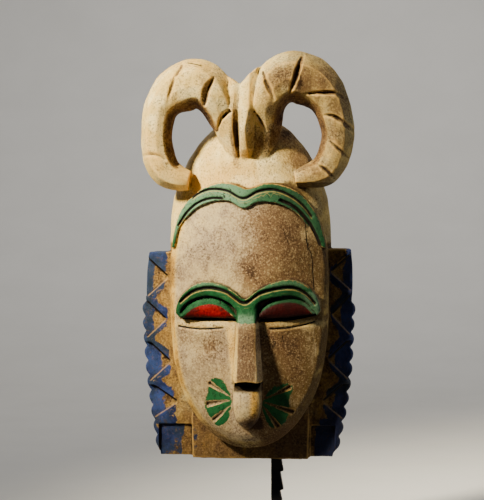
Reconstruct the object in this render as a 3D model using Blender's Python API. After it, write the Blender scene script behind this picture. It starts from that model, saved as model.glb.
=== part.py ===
"""A carved and painted guro mask with two curled horns, held up by a rod on a foot.

The mask is carved from one block, so it is one solid: a hollow head, a raised face plate with a
hair band, brows, eyelids, nose and mouth, a collar with chip-carved sides, and the two horns.
The iron rod stands behind it, bends forward inside the hollow and carries the mask on its tip.

Carving is written in shares of the mask's own height: one share is one millimetre on a mask of
358 mm. A place on the mask is (x, depth, z): x to the right in front view, depth forward from
the flat back, z up from the lower edge.
"""
import math

import bmesh
import bpy
import numpy as np
from mathutils import Vector

# Driving dimensions, in metres
MASK_HEIGHT = 0.358
WALL = 0.013
GAP = 0.0003

ROD_SIDE = 0.008
ROD_X = 0.0215
ROD_TOOTH = 0.003
ROD_TOOTH_STEP = 0.001
ROD_TOOTH_PITCH = 0.017
ROD_BEND = 0.010
HOOK_REACH = 0.026
HOOK_TIP = 0.014
HOOK_HEADROOM = 0.002
SOCKET_DEPTH = 0.014

FOOT_WIDTH = 0.160
FOOT_DEPTH = 0.130
FOOT_HEIGHT = 0.020
FOOT_BEVEL = 0.0015
MASK_LIFT = 0.075
BACK_Y = 0.038

# Carving, in shares of the mask's height
SHARES = 358.0
SHARE = MASK_HEIGHT / SHARES
WALL_SHARES = WALL / SHARE
OVERLAP = 3.0
MASK_BOTTOM = FOOT_HEIGHT + MASK_LIFT

FACE_X = 1.5
FACE_Z = 130.0
FACE_HALF = 72.0
FACE_DEPTH = 71.0
FACE_BARREL = 17.0
FACE_ARC = 10.0
FACE_ARC_Z = 115.0
FACE_ARC_HALF = 130.0
CHIN_FALL = 8.0
CHIN_FALL_Z = 45.0
CHIN_FALL_RUN = 33.0
RIM_DEPTH = 50.0
RIM_INSET = 0.925
DIP_OFFSET = 1.5
DIP_Z = 236.5
CHIN_INSET = 0.89
HAIR_INSET = 0.965
BAND_RELIEF = 3.0
BROW_DEPTH = 78.0
LID_DEPTH = 72.0
LID_BACK = 48.0
EYE_FLOOR = 62.0
EYE_FALL = 9.0
EYE_FRONT = 90.0
COLLAR_FRONT = 34.0
COLLAR_MID = 25.0
COLLAR_BACK = 11.0
CHIP_DEPTH = 4.5
NECK_DEPTH = 38.0
NECK_DROP = 0.8
LINE_DEPTH = 2.0
NOTCH_RINGS = 6
NOTCH_LIFT = 3.0
NOTCH_FADE = 0.6
HEAD_RIM = 12.0
HEAD_BACK_INSET = 0.96
HOLLOW_SWELL = 10.0
HOLLOW_SWELL_Z = 120.0
HOLLOW_SWELL_RUN = 60.0
HOLLOW_DOME = 30.0
BROW_FALL = 15.0
LID_FALL = 10.0
LID_CROWN = 2.0
LID_LINE_WIDTH = 2.0
LID_LINE_DEPTH = 1.8
BROW_LINE_WIDTH = 2.8
BROW_LINE_DEPTH = 2.6
NOTCH_LEFT_OVER = 0.03

WOOD = ("carved wood", (0.46, 0.36, 0.24, 1.0), 0.75, 0.0)
IRON = ("blackened iron", (0.02, 0.02, 0.022, 1.0), 0.5, 0.8)
FOOT_PAINT = ("black painted foot", (0.015, 0.015, 0.016, 1.0), 0.6, 0.0)


def clear_scene():
    """Empty the file, so that the model stands alone."""
    for old in list(bpy.data.objects):
        bpy.data.objects.remove(old, do_unlink=True)


def make_material(recipe):
    """A Principled material from its name, colour, roughness and metallic value."""
    name, colour, roughness, metallic = recipe
    material = bpy.data.materials.get(name) or bpy.data.materials.new(name)
    material.use_nodes = True
    shader = material.node_tree.nodes["Principled BSDF"]
    shader.inputs["Base Color"].default_value = colour
    shader.inputs["Roughness"].default_value = roughness
    shader.inputs["Metallic"].default_value = metallic
    return material


def at(x, depth, z):
    """The place in metres of a point of the carving."""
    return Vector((x * SHARE, BACK_Y - depth * SHARE, MASK_BOTTOM + z * SHARE))


def curve(points, steps, closed=False):
    """Rows along a smooth Catmull-Rom curve through the points, with `steps` rows to a span."""
    knots = np.array(points, dtype=float)
    if closed:
        knots = np.vstack([knots[-1], knots, knots[:2]])
    else:
        knots = np.vstack([2 * knots[0] - knots[1], knots, 2 * knots[-1] - knots[-2]])
    rows = []
    for before, start, end, after in zip(knots, knots[1:], knots[2:], knots[3:]):
        for step in range(steps):
            t = step / steps
            rows.append(0.5 * (2 * start + (end - before) * t
                               + (2 * before - 5 * start + 4 * end - after) * t * t
                               + (3 * start - before - 3 * end + after) * t ** 3))
    if not closed:
        rows.append(knots[-2])
    return np.array(rows)


def even(points, count):
    """The same curve with its rows at even distances."""
    rows = curve(points, 12)
    run = np.concatenate([[0.0], np.cumsum(np.linalg.norm(np.diff(rows, axis=0), axis=1))])
    wanted = np.linspace(0.0, run[-1], count)
    return np.column_stack([np.interp(wanted, run, rows[:, axis]) for axis in range(rows.shape[1])])


def add_object(name, bm, material):
    """Make the mesh's faces point out and put it in the scene."""
    bmesh.ops.recalc_face_normals(bm, faces=bm.faces)
    mesh = bpy.data.meshes.new(name)
    bm.to_mesh(mesh)
    bm.free()
    thing = bpy.data.objects.new(name, mesh)
    bpy.context.collection.objects.link(thing)
    if material is not None:
        mesh.materials.append(material)
    return thing


def add_loft(bm, rings):
    """A closed body through rings of places, with a fan of triangles over each end."""
    rows = [[bm.verts.new(place) for place in ring] for ring in rings]
    count = len(rows[0])
    for low, high in zip(rows, rows[1:]):
        for i in range(count):
            j = (i + 1) % count
            bm.faces.new((low[i], low[j], high[j], high[i]))
    for ring in (rows[0], rows[-1]):
        middle = bm.verts.new(sum((vert.co for vert in ring), Vector()) / count)
        for i in range(count):
            bm.faces.new((ring[i], ring[(i + 1) % count], middle))


def lofted(name, bodies, material=None):
    """One object from one or more lofted bodies that don't touch each other."""
    bm = bmesh.new()
    for rings in bodies:
        add_loft(bm, rings)
    return add_object(name, bm, material)


def boolean(target, tool, operation):
    """Cut the tool from the target, or join it, and leave the tool as a wire guide."""
    tool.hide_render = True
    tool.display_type = "WIRE"
    modifier = target.modifiers.new(f"{operation.lower()} {tool.name}", "BOOLEAN")
    modifier.operation = operation
    modifier.solver = "EXACT"
    modifier.object = tool


def face_depth(x, z):
    """The face plate's front: a barrel across, an arc up the brow and a fall under the chin."""
    across = ((x - FACE_X) / FACE_HALF) ** 2
    along = ((z - FACE_ARC_Z) / FACE_ARC_HALF) ** 2
    chin = max(0.0, (CHIN_FALL_Z - z) / CHIN_FALL_RUN) ** 2
    return FACE_DEPTH - FACE_BARREL * across - FACE_ARC * along - CHIN_FALL * chin


# Half widths and depths of the head from its lower edge to the top of the dome
HEAD = ((0, 60, 26), (30, 62, 30), (70, 66, 36), (110, 69, 42), (150, 71, 46), (190, 72, 49),
        (212, 71, 50), (230, 68.5, 50), (246, 63.5, 48), (262, 56, 45), (276, 47, 40),
        (289, 35, 33), (298, 22, 25), (303, 8, 17))


def head_section(z, half, depth):
    """A level ring of the head: flat behind, upright at the rim and round in front."""
    rim = min(HEAD_RIM, depth * 0.5)
    turns = np.linspace(0.0, math.pi, 25)
    front = [at(half * math.cos(t), rim + (depth - rim) * math.sin(t), z) for t in turns]
    return [at(half * HEAD_BACK_INSET, 0.0, z)] + front + [at(-half * HEAD_BACK_INSET, 0.0, z)]


def head():
    """The head block that everything else is carved on."""
    z, half, depth = np.array(HEAD, dtype=float).T
    levels = np.concatenate([np.linspace(NECK_DROP, 200, 9), np.linspace(212, 300, 14), [303]])
    rings = [head_section(level, np.interp(level, z, half), np.interp(level, z, depth))
             for level in levels]
    return lofted("mask", [rings], make_material(WOOD))


def hollow_size(z):
    """Half width and depth of the hollow at one height."""
    level, half, depth = np.array(HEAD, dtype=float).T
    roof = HEAD[-1][0] - WALL_SHARES
    width = np.interp(z, level, half) - WALL_SHARES
    swell = HOLLOW_SWELL * math.exp(-((z - HOLLOW_SWELL_Z) / HOLLOW_SWELL_RUN) ** 2)
    reach = np.interp(z, level, depth) - WALL_SHARES + swell
    closing = math.sqrt(max(0.02, 1.0 - max(0.0, (z - roof + HOLLOW_DOME) / HOLLOW_DOME) ** 2))
    return max(3.0, width * closing), max(3.0, reach * closing)


def hollow():
    """The hollow behind the face, open at the back and closed below by the wall."""
    roof = HEAD[-1][0] - WALL_SHARES
    spring = roof - HOLLOW_DOME
    levels = np.concatenate([[WALL_SHARES], np.linspace(2 * WALL_SHARES, spring, 9),
                             spring + HOLLOW_DOME * np.sin(np.linspace(0.2, math.pi / 2, 7))])
    rings = []
    for z in levels:
        half, reach = hollow_size(z)
        turns = np.linspace(0.0, math.pi, 19)
        ring = [at(half * math.cos(t), reach * math.sin(t), z) for t in turns]
        rings.append([at(half, -OVERLAP, z)] + ring + [at(-half, -OVERLAP, z)])
    return lofted("hollow", [rings])


# Right half of the face plate's outline, from the chin to the dip of the hair line
FACE_HALF_OUTLINE = ((0, 12), (13, 13), (25, 18.5), (36, 27), (45, 37.5), (52.5, 49), (59, 63),
                     (63.5, 79), (67, 100), (69, 125), (69.3, 155), (68, 180), (65, 198),
                     (60, 211), (53, 223), (43.5, 233), (31, 239.5), (20, 241.5), (9, 240))


def face_outline():
    """The whole outline of the face plate, closed, as front view rows."""
    right = [(FACE_X + x, z) for x, z in FACE_HALF_OUTLINE]
    left = [(FACE_X - x, z) for x, z in reversed(FACE_HALF_OUTLINE[1:])]
    return curve(right + [(FACE_X - DIP_OFFSET, DIP_Z)] + left, 2, closed=True)


def face_ring(outline, share):
    """The outline drawn in towards the middle, with the bevel widest under the chin."""
    ring = []
    for x, z in outline:
        upright = CHIN_INSET if z < FACE_Z else HAIR_INSET
        px = FACE_X + (x - FACE_X) * RIM_INSET * share
        pz = FACE_Z + (z - FACE_Z) * upright * share
        ring.append(at(px, face_depth(px, pz), pz))
    return ring


def face_plate():
    """The raised oval of the face, with a bevelled rim and a round front."""
    outline = face_outline()
    rings = [[at(x, depth, z) for x, z in outline] for depth in (8.0, RIM_DEPTH)]
    rings += [face_ring(outline, share) for share in (1.0, 0.9, 0.76, 0.6, 0.42, 0.24, 0.1)]
    return lofted("face_plate", [rings])


def ribbon(upper, lower, front, back, count=15, crown=0.0):
    """Rings of a body between two front view curves, with its front at a depth for each point.

    A crown swells the middle of the front, and `front` and `back` are numbers or functions.
    """
    top = even(upper, count)
    low = even(lower, count)
    rings = []
    for (ax, az), (bx, bz) in zip(top, low):
        mx, mz = (ax + bx) / 2, (az + bz) / 2
        depth = [front(x, z) if callable(front) else front for x, z in ((ax, az), (mx, mz), (bx, bz))]
        floor = back(mx, mz) if callable(back) else back
        rings.append([at(ax, floor, az), at(ax, depth[0], az), at(mx, depth[1] + crown, mz),
                      at(bx, depth[2], bz), at(bx, floor, bz)])
    return rings


def groove(path, front, width=2.4, depth=LINE_DEPTH, lift=2.0, count=None):
    """Rings of a V cutter along a front view path, sunk into a surface of the given depth."""
    rows = even(path, count or 6 * (len(path) - 1))
    along = np.gradient(rows, axis=0)
    along /= np.linalg.norm(along, axis=1)[:, None]
    spread = 0.5 * width * (depth + lift) / depth
    rings = []
    for (x, z), (dx, dz) in zip(rows, along):
        surface = front(x, z) if callable(front) else front
        rings.append([at(x - dz * spread, surface + lift, z + dx * spread), at(x, surface - depth, z),
                      at(x + dz * spread, surface + lift, z - dx * spread)])
    return rings


HAIR_OUTER = ((-65.5, 186), (-63, 202), (-56, 221), (-42, 235), (-28, 241.5), (-15, 242.5),
              (-5, 239.5), (0, 237.5), (6, 238.5), (17, 242), (31, 240.5), (46, 233.5),
              (58, 220), (66, 201), (69, 186))
HAIR_INNER = ((-62.5, 187), (-58, 205), (-44, 220.5), (-28, 227), (-14, 227), (-2, 221),
              (10, 226), (25, 225.5), (42, 218), (55, 203), (65.5, 187))
HAIR_LINE_UPPER = ((-48, 229), (-41, 234), (-30, 237.5), (-16, 236), (-2, 229.5), (11, 235.5),
                   (25, 237), (39, 231.5), (50, 222.5), (57, 213))
HAIR_LINE_LEFT = ((-60, 205), (-51, 218), (-41, 226), (-30, 229.5), (-19, 229.5))
HAIR_LINE_RIGHT = ((29, 228.5), (42, 222), (53, 210.5), (60, 198), (64, 188))


def hair_front(x, z):
    """The hair band's front, a little proud of the face."""
    return face_depth(x, z) + BAND_RELIEF


def hair_band():
    """The band over the forehead, dipping at the middle."""
    return lofted("hair_band", [ribbon(HAIR_OUTER, HAIR_INNER, hair_front, 40.0, 37)])


def hair_lines():
    """The two lines cut along the band."""
    return lofted("hair_lines", [groove(HAIR_LINE_UPPER, hair_front, count=31),
                                 groove(HAIR_LINE_LEFT, hair_front, count=13),
                                 groove(HAIR_LINE_RIGHT, hair_front, 3.2, count=13)])


BROW_UPPER = ((-61, 131), (-58, 142), (-47, 153.5), (-33, 158), (-19, 155), (-8, 149), (0, 143.5),
              (11, 151), (24, 157.5), (39, 160), (52, 155.5), (61, 146), (65, 133))
BROW_LOWER = ((-57.5, 127), (-54, 136), (-43, 143.5), (-28, 145.5), (-13, 140), (0.5, 127),
              (13, 141), (28, 145.3), (41, 145.6), (52.5, 141), (61.5, 129))
BROW_LINE = ((-57, 140), (-45, 149.5), (-31, 153), (-16, 150), (-0.5, 140.5), (13, 148.5),
             (27, 152.5), (41, 153.5), (52, 148.5), (60.5, 139))
EYE_LEFT_UPPER = ((-57.5, 128), (-50, 139.5), (-33, 146), (-18, 142), (-7, 131))
EYE_LEFT_LOWER = ((-57.5, 124.5), (-32, 121.5), (-7, 124))
EYE_RIGHT_UPPER = ((10, 130), (19, 141), (36, 146.5), (51, 142), (61, 132))
EYE_RIGHT_LOWER = ((10, 122.5), (35, 122.5), (61, 127.5))
LID_LEFT_UPPER = ((-56, 128.5), (-47.5, 137.6), (-32.5, 143.6), (-18.3, 139.6), (-8, 129))
LID_LEFT_LOWER = ((-56, 126), (-31.5, 126.8), (-8, 126))
LID_RIGHT_UPPER = ((11, 128), (19.5, 138.4), (36, 144.2), (50.5, 139.8), (59.5, 131))
LID_RIGHT_LOWER = ((11, 125), (34.5, 127.2), (58.5, 129.5))
LID_LINE_LEFT = ((-60, 119), (-47, 117.2), (-34, 117), (-18, 118.5))
LID_LINE_RIGHT = ((20, 117.6), (34, 118.3), (47, 120.2), (60, 123.6))


def brow_front(x, z):
    """The brows' front, level in the middle and falling back with the face at the temples."""
    return BROW_DEPTH - BROW_FALL * ((x - FACE_X) / FACE_HALF) ** 2


def lid_front(x, z):
    """The upper lids' front, set back under the brows."""
    return LID_DEPTH - LID_FALL * ((x - FACE_X) / FACE_HALF) ** 2


def brows():
    """The two raised brows, which meet over the nose."""
    return lofted("brows", [ribbon(BROW_UPPER, BROW_LOWER, brow_front, 52.0, 35)])


def brow_line():
    """The line cut along the brows."""
    return lofted("brow_line", [groove(BROW_LINE, brow_front, BROW_LINE_WIDTH, BROW_LINE_DEPTH, count=31)])


def eye_floor(x, z):
    """The floor of the shade under a brow, falling back with the face."""
    return EYE_FLOOR - EYE_FALL * (x / FACE_HALF) ** 2


def eye_hollows():
    """The deep shade under each brow."""
    return lofted("eye_hollows", [ribbon(EYE_LEFT_UPPER, EYE_LEFT_LOWER, EYE_FRONT, eye_floor, 13),
                                  ribbon(EYE_RIGHT_UPPER, EYE_RIGHT_LOWER, EYE_FRONT, eye_floor, 13)])


def lids():
    """The half-moon upper lids, round in front."""
    left = ribbon(LID_LEFT_UPPER, LID_LEFT_LOWER, lid_front, LID_BACK, 13, LID_CROWN)
    right = ribbon(LID_RIGHT_UPPER, LID_RIGHT_LOWER, lid_front, LID_BACK, 13, LID_CROWN)
    return lofted("lid_left", [left]), lofted("lid_right", [right])


def lid_lines():
    """The fine line below each lower lid."""
    return lofted("lid_lines", [groove(path, face_depth, LID_LINE_WIDTH, LID_LINE_DEPTH, count=9)
                                for path in (LID_LINE_LEFT, LID_LINE_RIGHT)])


# Nose sections from the brows down: centre x, ridge half width, base half width, ridge depth, z
NOSE = ((1.5, 8.5, 10.0, 77.0, 139.0), (2.0, 8.0, 9.8, 80.0, 128.0), (2.5, 8.1, 10.8, 87.0, 104.0),
        (2.8, 9.2, 12.3, 93.0, 80.0), (2.8, 9.6, 12.6, 93.5, 73.0))
# Mouth sections from the nose down: centre x, front half width, base half width, front depth, z
MUZZLE = ((2.2, 10.5, 12.0, 80.0, 74.0), (2.2, 10.8, 12.0, 84.0, 66.0), (2.3, 11.2, 12.2, 86.0, 57.0),
          (2.3, 9.8, 11.0, 85.0, 48.0), (1.6, 5.5, 7.5, 80.0, 40.0), (1.6, 2.5, 4.0, 71.0, 34.0))


def upright(sections, back):
    """Rings of an upright body with a flat front and slanted sides."""
    return [[at(x - base, back, z), at(x - base, depth - 9.0, z), at(x - front, depth - 0.8, z),
             at(x, depth, z), at(x + front, depth - 0.8, z), at(x + base, depth - 9.0, z),
             at(x + base, back, z)] for x, front, base, depth, z in sections]


def nose():
    """The long nose with a flat ridge."""
    return lofted("nose", [upright(NOSE, 60.0)])


def muzzle():
    """The narrow mouth that stands out under the nose."""
    return lofted("muzzle", [upright(MUZZLE, 56.0)])


# The slot under the nose: middle, half width, and depth and z of its corners
SLOT_X = 2.5
SLOT_HALF = 10.7
SLOT_SECTION = ((74, 69), (98, 65.4), (98, 73.6), (74, 74.5))


def nostril_slot():
    """The dark slot between the nose and the mouth."""
    return lofted("nostril_slot", [[[at(x, depth, z) for depth, z in SLOT_SECTION]
                                    for x in (SLOT_X - SLOT_HALF, SLOT_X, SLOT_X + SLOT_HALF)]])


# Whisker cuts on both cheeks: outer end, inner end and width at the outer end
WHISKERS = (((-32, 70.5), (-12.5, 58.5), 4.2), ((-34, 51.5), (-12, 56), 5.4), ((-28.5, 37.5), (-12, 52), 4.6),
            ((39, 67.5), (16.5, 57), 4.2), ((42, 45), (16, 54.5), 5.0), ((28.5, 32), (15.5, 51), 4.6))


def whisker_cuts():
    """Wedges cut into the cheeks, wide outside and ending in a point at the mouth."""
    bodies = []
    for (ax, az), (bx, bz), width in WHISKERS:
        length = math.hypot(bx - ax, bz - az)
        side = ((bz - az) / length, -(bx - ax) / length)
        bodies.append([[at(x - side[0] * half, face_depth(x, z) + 2.0, z - side[1] * half),
                        at(x, face_depth(x, z) - sink, z),
                        at(x + side[0] * half, face_depth(x, z) + 2.0, z + side[1] * half)]
                       for x, z, half, sink in ((ax, az, width * 0.8, 2.6), (bx, bz, 0.8, 0.6))])
    return lofted("whisker_cuts", bodies)


# Outer edge of the collar from its top to its foot, as front view points
COLLAR_LEFT = ((-88.5, 182), (-90.5, 168), (-91.5, 140), (-91.5, 122), (-89.5, 87), (-87.5, 66),
               (-84.5, 42), (-81, 18), (-79, 1.5))
COLLAR_RIGHT = ((89.5, 185), (91, 168), (91, 150), (90, 135), (88.5, 100), (87, 75), (84, 50),
                (80.5, 30), (74, 1.5))
COLLAR_ROOT = 42.0
SCALLOP_PITCH = 13.2
SCALLOP_RISE = 4.0
SCALLOP_TOP = 138.0
SCALLOP_STEPS = 4


def collar_side(name, edge, side):
    """One side of the collar: a thick flap with a row of rounded teeth down its outer edge."""
    rows = curve(edge, 12)
    top, foot = rows[0][1], rows[-1][1]
    teeth = int((SCALLOP_TOP - foot) / SCALLOP_PITCH)
    toothed = SCALLOP_TOP - SCALLOP_PITCH / SCALLOP_STEPS * np.arange(teeth * SCALLOP_STEPS + 1)
    levels = np.concatenate([np.linspace(top, SCALLOP_TOP, 6)[:-1], toothed, [foot]])
    rings = []
    for z in levels:
        x = np.interp(-z, -rows[:, 1], rows[:, 0])
        turn = math.pi * (SCALLOP_TOP - z) / SCALLOP_PITCH
        swell = side * SCALLOP_RISE * abs(math.sin(turn)) ** 0.6 if SCALLOP_TOP > z > foot + 4 else 0.0
        rings.append([at(side * COLLAR_ROOT, COLLAR_BACK, z), at(0.96 * x + swell, COLLAR_BACK, z),
                      at(x + swell, COLLAR_MID, z), at(x, COLLAR_FRONT, z),
                      at(side * COLLAR_ROOT, COLLAR_FRONT, z)])
    return lofted(name, [rings])


# Chips in the collar: outer edge, middle height, half height and point
CHIPS_LEFT = ((-90, 160, 17, -71), (-90.5, 122.5, 16, -73), (-88, 85, 17, -69), (-84, 49.5, 14, -63))
CHIPS_RIGHT = ((89.5, 165, 15.5, 72), (89.5, 127.5, 17.5, 73), (87.5, 88, 17, 70), (83.5, 51, 15.5, 65))
CHIP_RUN = 8.0
# The two low squares: inner edge, outer edge
CHIP_BLOCKS = ((-50.0, -79.5), (55.0, 76.0))


def collar_chips():
    """Sunk triangles along both sides, deep at the outer edge and shallow at the point."""
    bodies = []
    for chips, side in ((CHIPS_LEFT, -1), (CHIPS_RIGHT, 1)):
        for edge, z, half, point in chips:
            out = edge + side * CHIP_RUN
            bodies.append([[at(out, depth, z + half), at(edge, depth, z + half), at(point, tip, z),
                            at(edge, depth, z - half), at(out, depth, z - half)]
                           for depth, tip in ((COLLAR_FRONT + 3, COLLAR_FRONT + 3),
                                              (COLLAR_FRONT - CHIP_DEPTH, COLLAR_FRONT - 1.0))])
    for inner, outer in CHIP_BLOCKS:
        bodies.append([[at(x, COLLAR_FRONT - 3.0, -4), at(x, COLLAR_FRONT - 3.0, 29),
                        at(x, COLLAR_FRONT + 9, 31), at(x, COLLAR_FRONT + 9, -4)] for x in (inner, outer)])
    return lofted("collar_chips", bodies)


def neck():
    """The upright panel under the chin, round in front, between the two sides."""
    rings = []
    for z, half, depth in ((0.0, 51, NECK_DEPTH), (34, 52, NECK_DEPTH), (62, 50, NECK_DEPTH - 1.5)):
        arc = [(FACE_X + half * s, depth - 2 * s * s) for s in np.linspace(-1, 1, 11)]
        rings.append([at(x, d, z) for x, d in arc] + [at(FACE_X + half, 6, z), at(FACE_X - half, 6, z)])
    return lofted("neck", [rings])


# Horn stations from the root to the tip: x, depth, z, half width in front view, half thickness
HORN_LEFT = ((-9.5, 30, 262, 6.5, 12), (-16, 37, 286, 11.5, 16), (-25, 46, 312, 17.5, 20),
             (-35, 47.5, 325, 21, 21), (-47.5, 47, 328.4, 22.4, 21), (-63, 46, 322, 20.5, 19),
             (-76, 45, 307.5, 15.2, 17), (-80, 44, 285, 13.6, 16), (-78, 44, 265, 14.3, 15),
             (-71, 43.5, 252, 13.5, 14), (-60, 43, 246, 11, 12.5), (-51, 42, 244.4, 8.6, 11))
HORN_RIGHT = ((10, 30, 262, 13, 14), (13, 35, 286, 14.4, 15), (16, 46, 311, 16.8, 20),
              (24, 48, 327, 20.5, 21), (39.5, 48, 334.3, 23, 21), (58, 46.5, 328, 21.5, 19),
              (71.5, 45.5, 312, 16.8, 17), (78, 45, 287, 14.4, 16), (74.5, 44.5, 266, 14.4, 15),
              (65.5, 43.5, 252.8, 13.6, 14), (51, 42.5, 248, 10, 12), (41.5, 41.5, 246.5, 6.8, 10))
# A horn's section: share of the half width towards its loop, share of the half thickness forward
HORN_SECTION = ((1.0, -0.15), (0.84, 0.34), (0.58, 0.82), (0.16, 1.0), (-0.46, 0.93), (-0.74, 0.44),
                (-1.0, -0.1), (-0.85, -0.7), (-0.3, -1.0), (0.45, -0.95), (0.88, -0.65))


TURN_SMOOTHING = 6


def horn_rows(stations):
    """Rows along a horn: place, width and thickness, and the direction of its path in front view."""
    rows = even(stations, 40)
    along = np.gradient(rows[:, (0, 2)], axis=0)
    for _ in range(TURN_SMOOTHING):
        along[1:-1] = (along[:-2] + 2 * along[1:-1] + along[2:]) / 4
    along /= np.linalg.norm(along, axis=1)[:, None]
    return rows, along


def horn(name, stations, side):
    """A tapered horn swept around its loop, with a flattened front."""
    rows, along = horn_rows(stations)
    rings = []
    for (x, depth, z, half, thick), (dx, dz) in zip(rows, along):
        rings.append([at(x + side * dz * inward * half, depth + front * thick, z - side * dx * inward * half)
                      for inward, front in HORN_SECTION])
    return lofted(name, [rings])


# Cuts on each horn (-1 left, 1 right): path in front view, width at both ends, depth, and lean of the floor
NOTCHES = (
    (-1, ((-57, 347), (-65.5, 323.5), (-68.5, 309)), 4.0, 4.0, 2.6, 0.5),
    (-1, ((-26.5, 335), (-34, 323), (-37.5, 309)), 4.0, 10.0, 7.0, 0.4),
    (-1, ((-5, 308.5), (-11.6, 306.7), (-21.7, 298), (-27, 287)), 4.0, 4.5, 5.0, 0.3),
    (-1, ((-90, 266), (-82.2, 267.8), (-70, 263)), 3.0, 3.0, 1.8, -0.3),
    (1, ((12, 341), (18, 327), (24.5, 313)), 3.5, 6.0, 4.5, 0.2),
    (1, ((5, 306), (10.5, 298), (17, 285)), 2.4, 4.4, 3.6, 0.3),
    (1, ((50, 354), (45.9, 341.4), (42.1, 328.8), (38, 318)), 6.5, 5.0, 7.0, -0.5),
    (1, ((50, 318), (68.3, 319.4), (79.6, 318.1), (88, 313)), 4.0, 5.5, 5.0, 0.4),
    (1, ((71, 298), (84, 295), (94, 286)), 4.0, 4.5, 3.6, 0.4),
    (1, ((74, 276.5), (82.2, 269), (91, 262)), 3.2, 3.2, 2.2, 0.2),
    (1, ((63, 257), (69.5, 252.5), (74, 247)), 3.2, 3.2, 2.2, 0.2))


def horn_front(rows, along, side, x, z):
    """The depth of a horn's front at a front view place, read from its section."""
    i = int(np.argmin((rows[:, 0] - x) ** 2 + (rows[:, 2] - z) ** 2))
    path_x, depth, path_z, half, thick = rows[i]
    inward = side * ((x - path_x) * along[i, 1] - (z - path_z) * along[i, 0]) / half
    crest = np.array(sorted(corner for corner in HORN_SECTION if corner[1] > -0.2))
    return depth + thick * np.interp(inward, crest[:, 0], crest[:, 1])


def horn_notches():
    """V cuts across the horns that run out at both ends."""
    horns = {-1: horn_rows(HORN_LEFT), 1: horn_rows(HORN_RIGHT)}
    bodies = []
    for side, path, width_start, width_end, sink, lean in NOTCHES:
        points = even(path, NOTCH_RINGS)
        steps = np.gradient(points, axis=0)
        steps /= np.linalg.norm(steps, axis=1)[:, None]
        rings = []
        for i, ((x, z), (dx, dz)) in enumerate(zip(points, steps)):
            share = i / (NOTCH_RINGS - 1)
            surface = horn_front(*horns[side], side, x, z)
            turn = math.pi * (NOTCH_LEFT_OVER + (1 - 2 * NOTCH_LEFT_OVER) * share)
            taper = math.sqrt(math.sin(turn))
            floor = sink * taper - NOTCH_FADE * (1 - taper)
            width = width_start + (width_end - width_start) * share
            spread = 0.5 * width * (floor + NOTCH_LIFT) / sink
            shift = 0.5 * lean * width
            rings.append([at(x + dz * spread, surface + NOTCH_LIFT, z - dx * spread),
                          at(x - dz * shift, surface - floor, z + dx * shift),
                          at(x - dz * spread, surface + NOTCH_LIFT, z + dx * spread)])
        bodies.append(rings)
    return lofted("horn_notches", bodies)


# Stem sections from the dome up: z, then for each corner across its front a place x and a depth
STEM = ((263, ((-12, 28), (-11, 40), (-9.5, 42), (-8.5, 42.5), (-7.6, 41), (-6.5, 43), (0.5, 44), (5, 40),
               (6, 28))),
        (272, ((-16, 28), (-15, 43), (-12, 49), (-10.5, 51), (-7.9, 45), (-5.6, 52.5), (0.5, 54.5), (6, 44),
               (9, 28))),
        (289, ((-27, 30), (-26, 46), (-20, 56), (-12, 59), (-8.4, 50), (-5.2, 61), (-1, 63.5), (8, 48),
               (20, 30))),
        (306, ((-27, 32), (-28, 50), (-21, 60), (-12, 61.5), (-7.4, 58), (-5, 63.5), (2.5, 66), (11, 56), (20, 32))),
        (328, ((-17, 36), (-16.5, 48), (-13.5, 55), (-10, 57), (-6.5, 56.3), (-3, 57.5), (3, 59), (9, 55), (11, 36))))
STEM_DIP_X = -6.0
STEM_DIP_LEFT = 0.65
STEM_DIP_RIGHT = 1.0


def stem():
    """The faceted block of the two roots, grooved left of its ridge, its top dipping between the horns."""
    rings = []
    for z, corners in STEM:
        top = 1.0 if z == STEM[-1][0] else 0.0
        outline = corners + ((STEM_DIP_X, corners[0][1]),)
        rings.append([at(x, depth, z + top * max(STEM_DIP_LEFT * (STEM_DIP_X - x),
                                                 STEM_DIP_RIGHT * (x - STEM_DIP_X)))
                      for x, depth in outline])
    dip = at(STEM_DIP_X, sum(depth for _, depth in STEM[-1][1]) / len(STEM[-1][1]), STEM[-1][0])
    rings.append([dip + 0.1 * (place - dip) for place in rings[-1]])
    return lofted("stem", [rings])


def mask():
    """Join the carving to the head, then cut the hollow and the lines."""
    body = head()
    additions = [face_plate(), hair_band(), neck(), collar_side("collar_left", COLLAR_LEFT, -1),
                 collar_side("collar_right", COLLAR_RIGHT, 1), horn("horn_left", HORN_LEFT, -1),
                 horn("horn_right", HORN_RIGHT, 1), stem(), brows()]
    for addition in additions:
        boolean(body, addition, "UNION")
    boolean(body, eye_hollows(), "DIFFERENCE")
    for addition in (*lids(), nose(), muzzle()):
        boolean(body, addition, "UNION")
    for cutter in (hollow(), nostril_slot(), hair_lines(), brow_line(), lid_lines(), whisker_cuts(),
                   collar_chips(), horn_notches()):
        boolean(body, cutter, "DIFFERENCE")
    return body


def roof_height(x, depth):
    """The height in shares at which the hollow closes over a point."""
    low, high = 100.0, HEAD[-1][0] - WALL_SHARES
    for _ in range(30):
        middle = (low + high) / 2
        half, reach = hollow_size(middle)
        inside = (x / half) ** 2 + (depth / reach) ** 2 < 1.0
        low, high = (middle, high) if inside else (low, middle)
    return low


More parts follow.
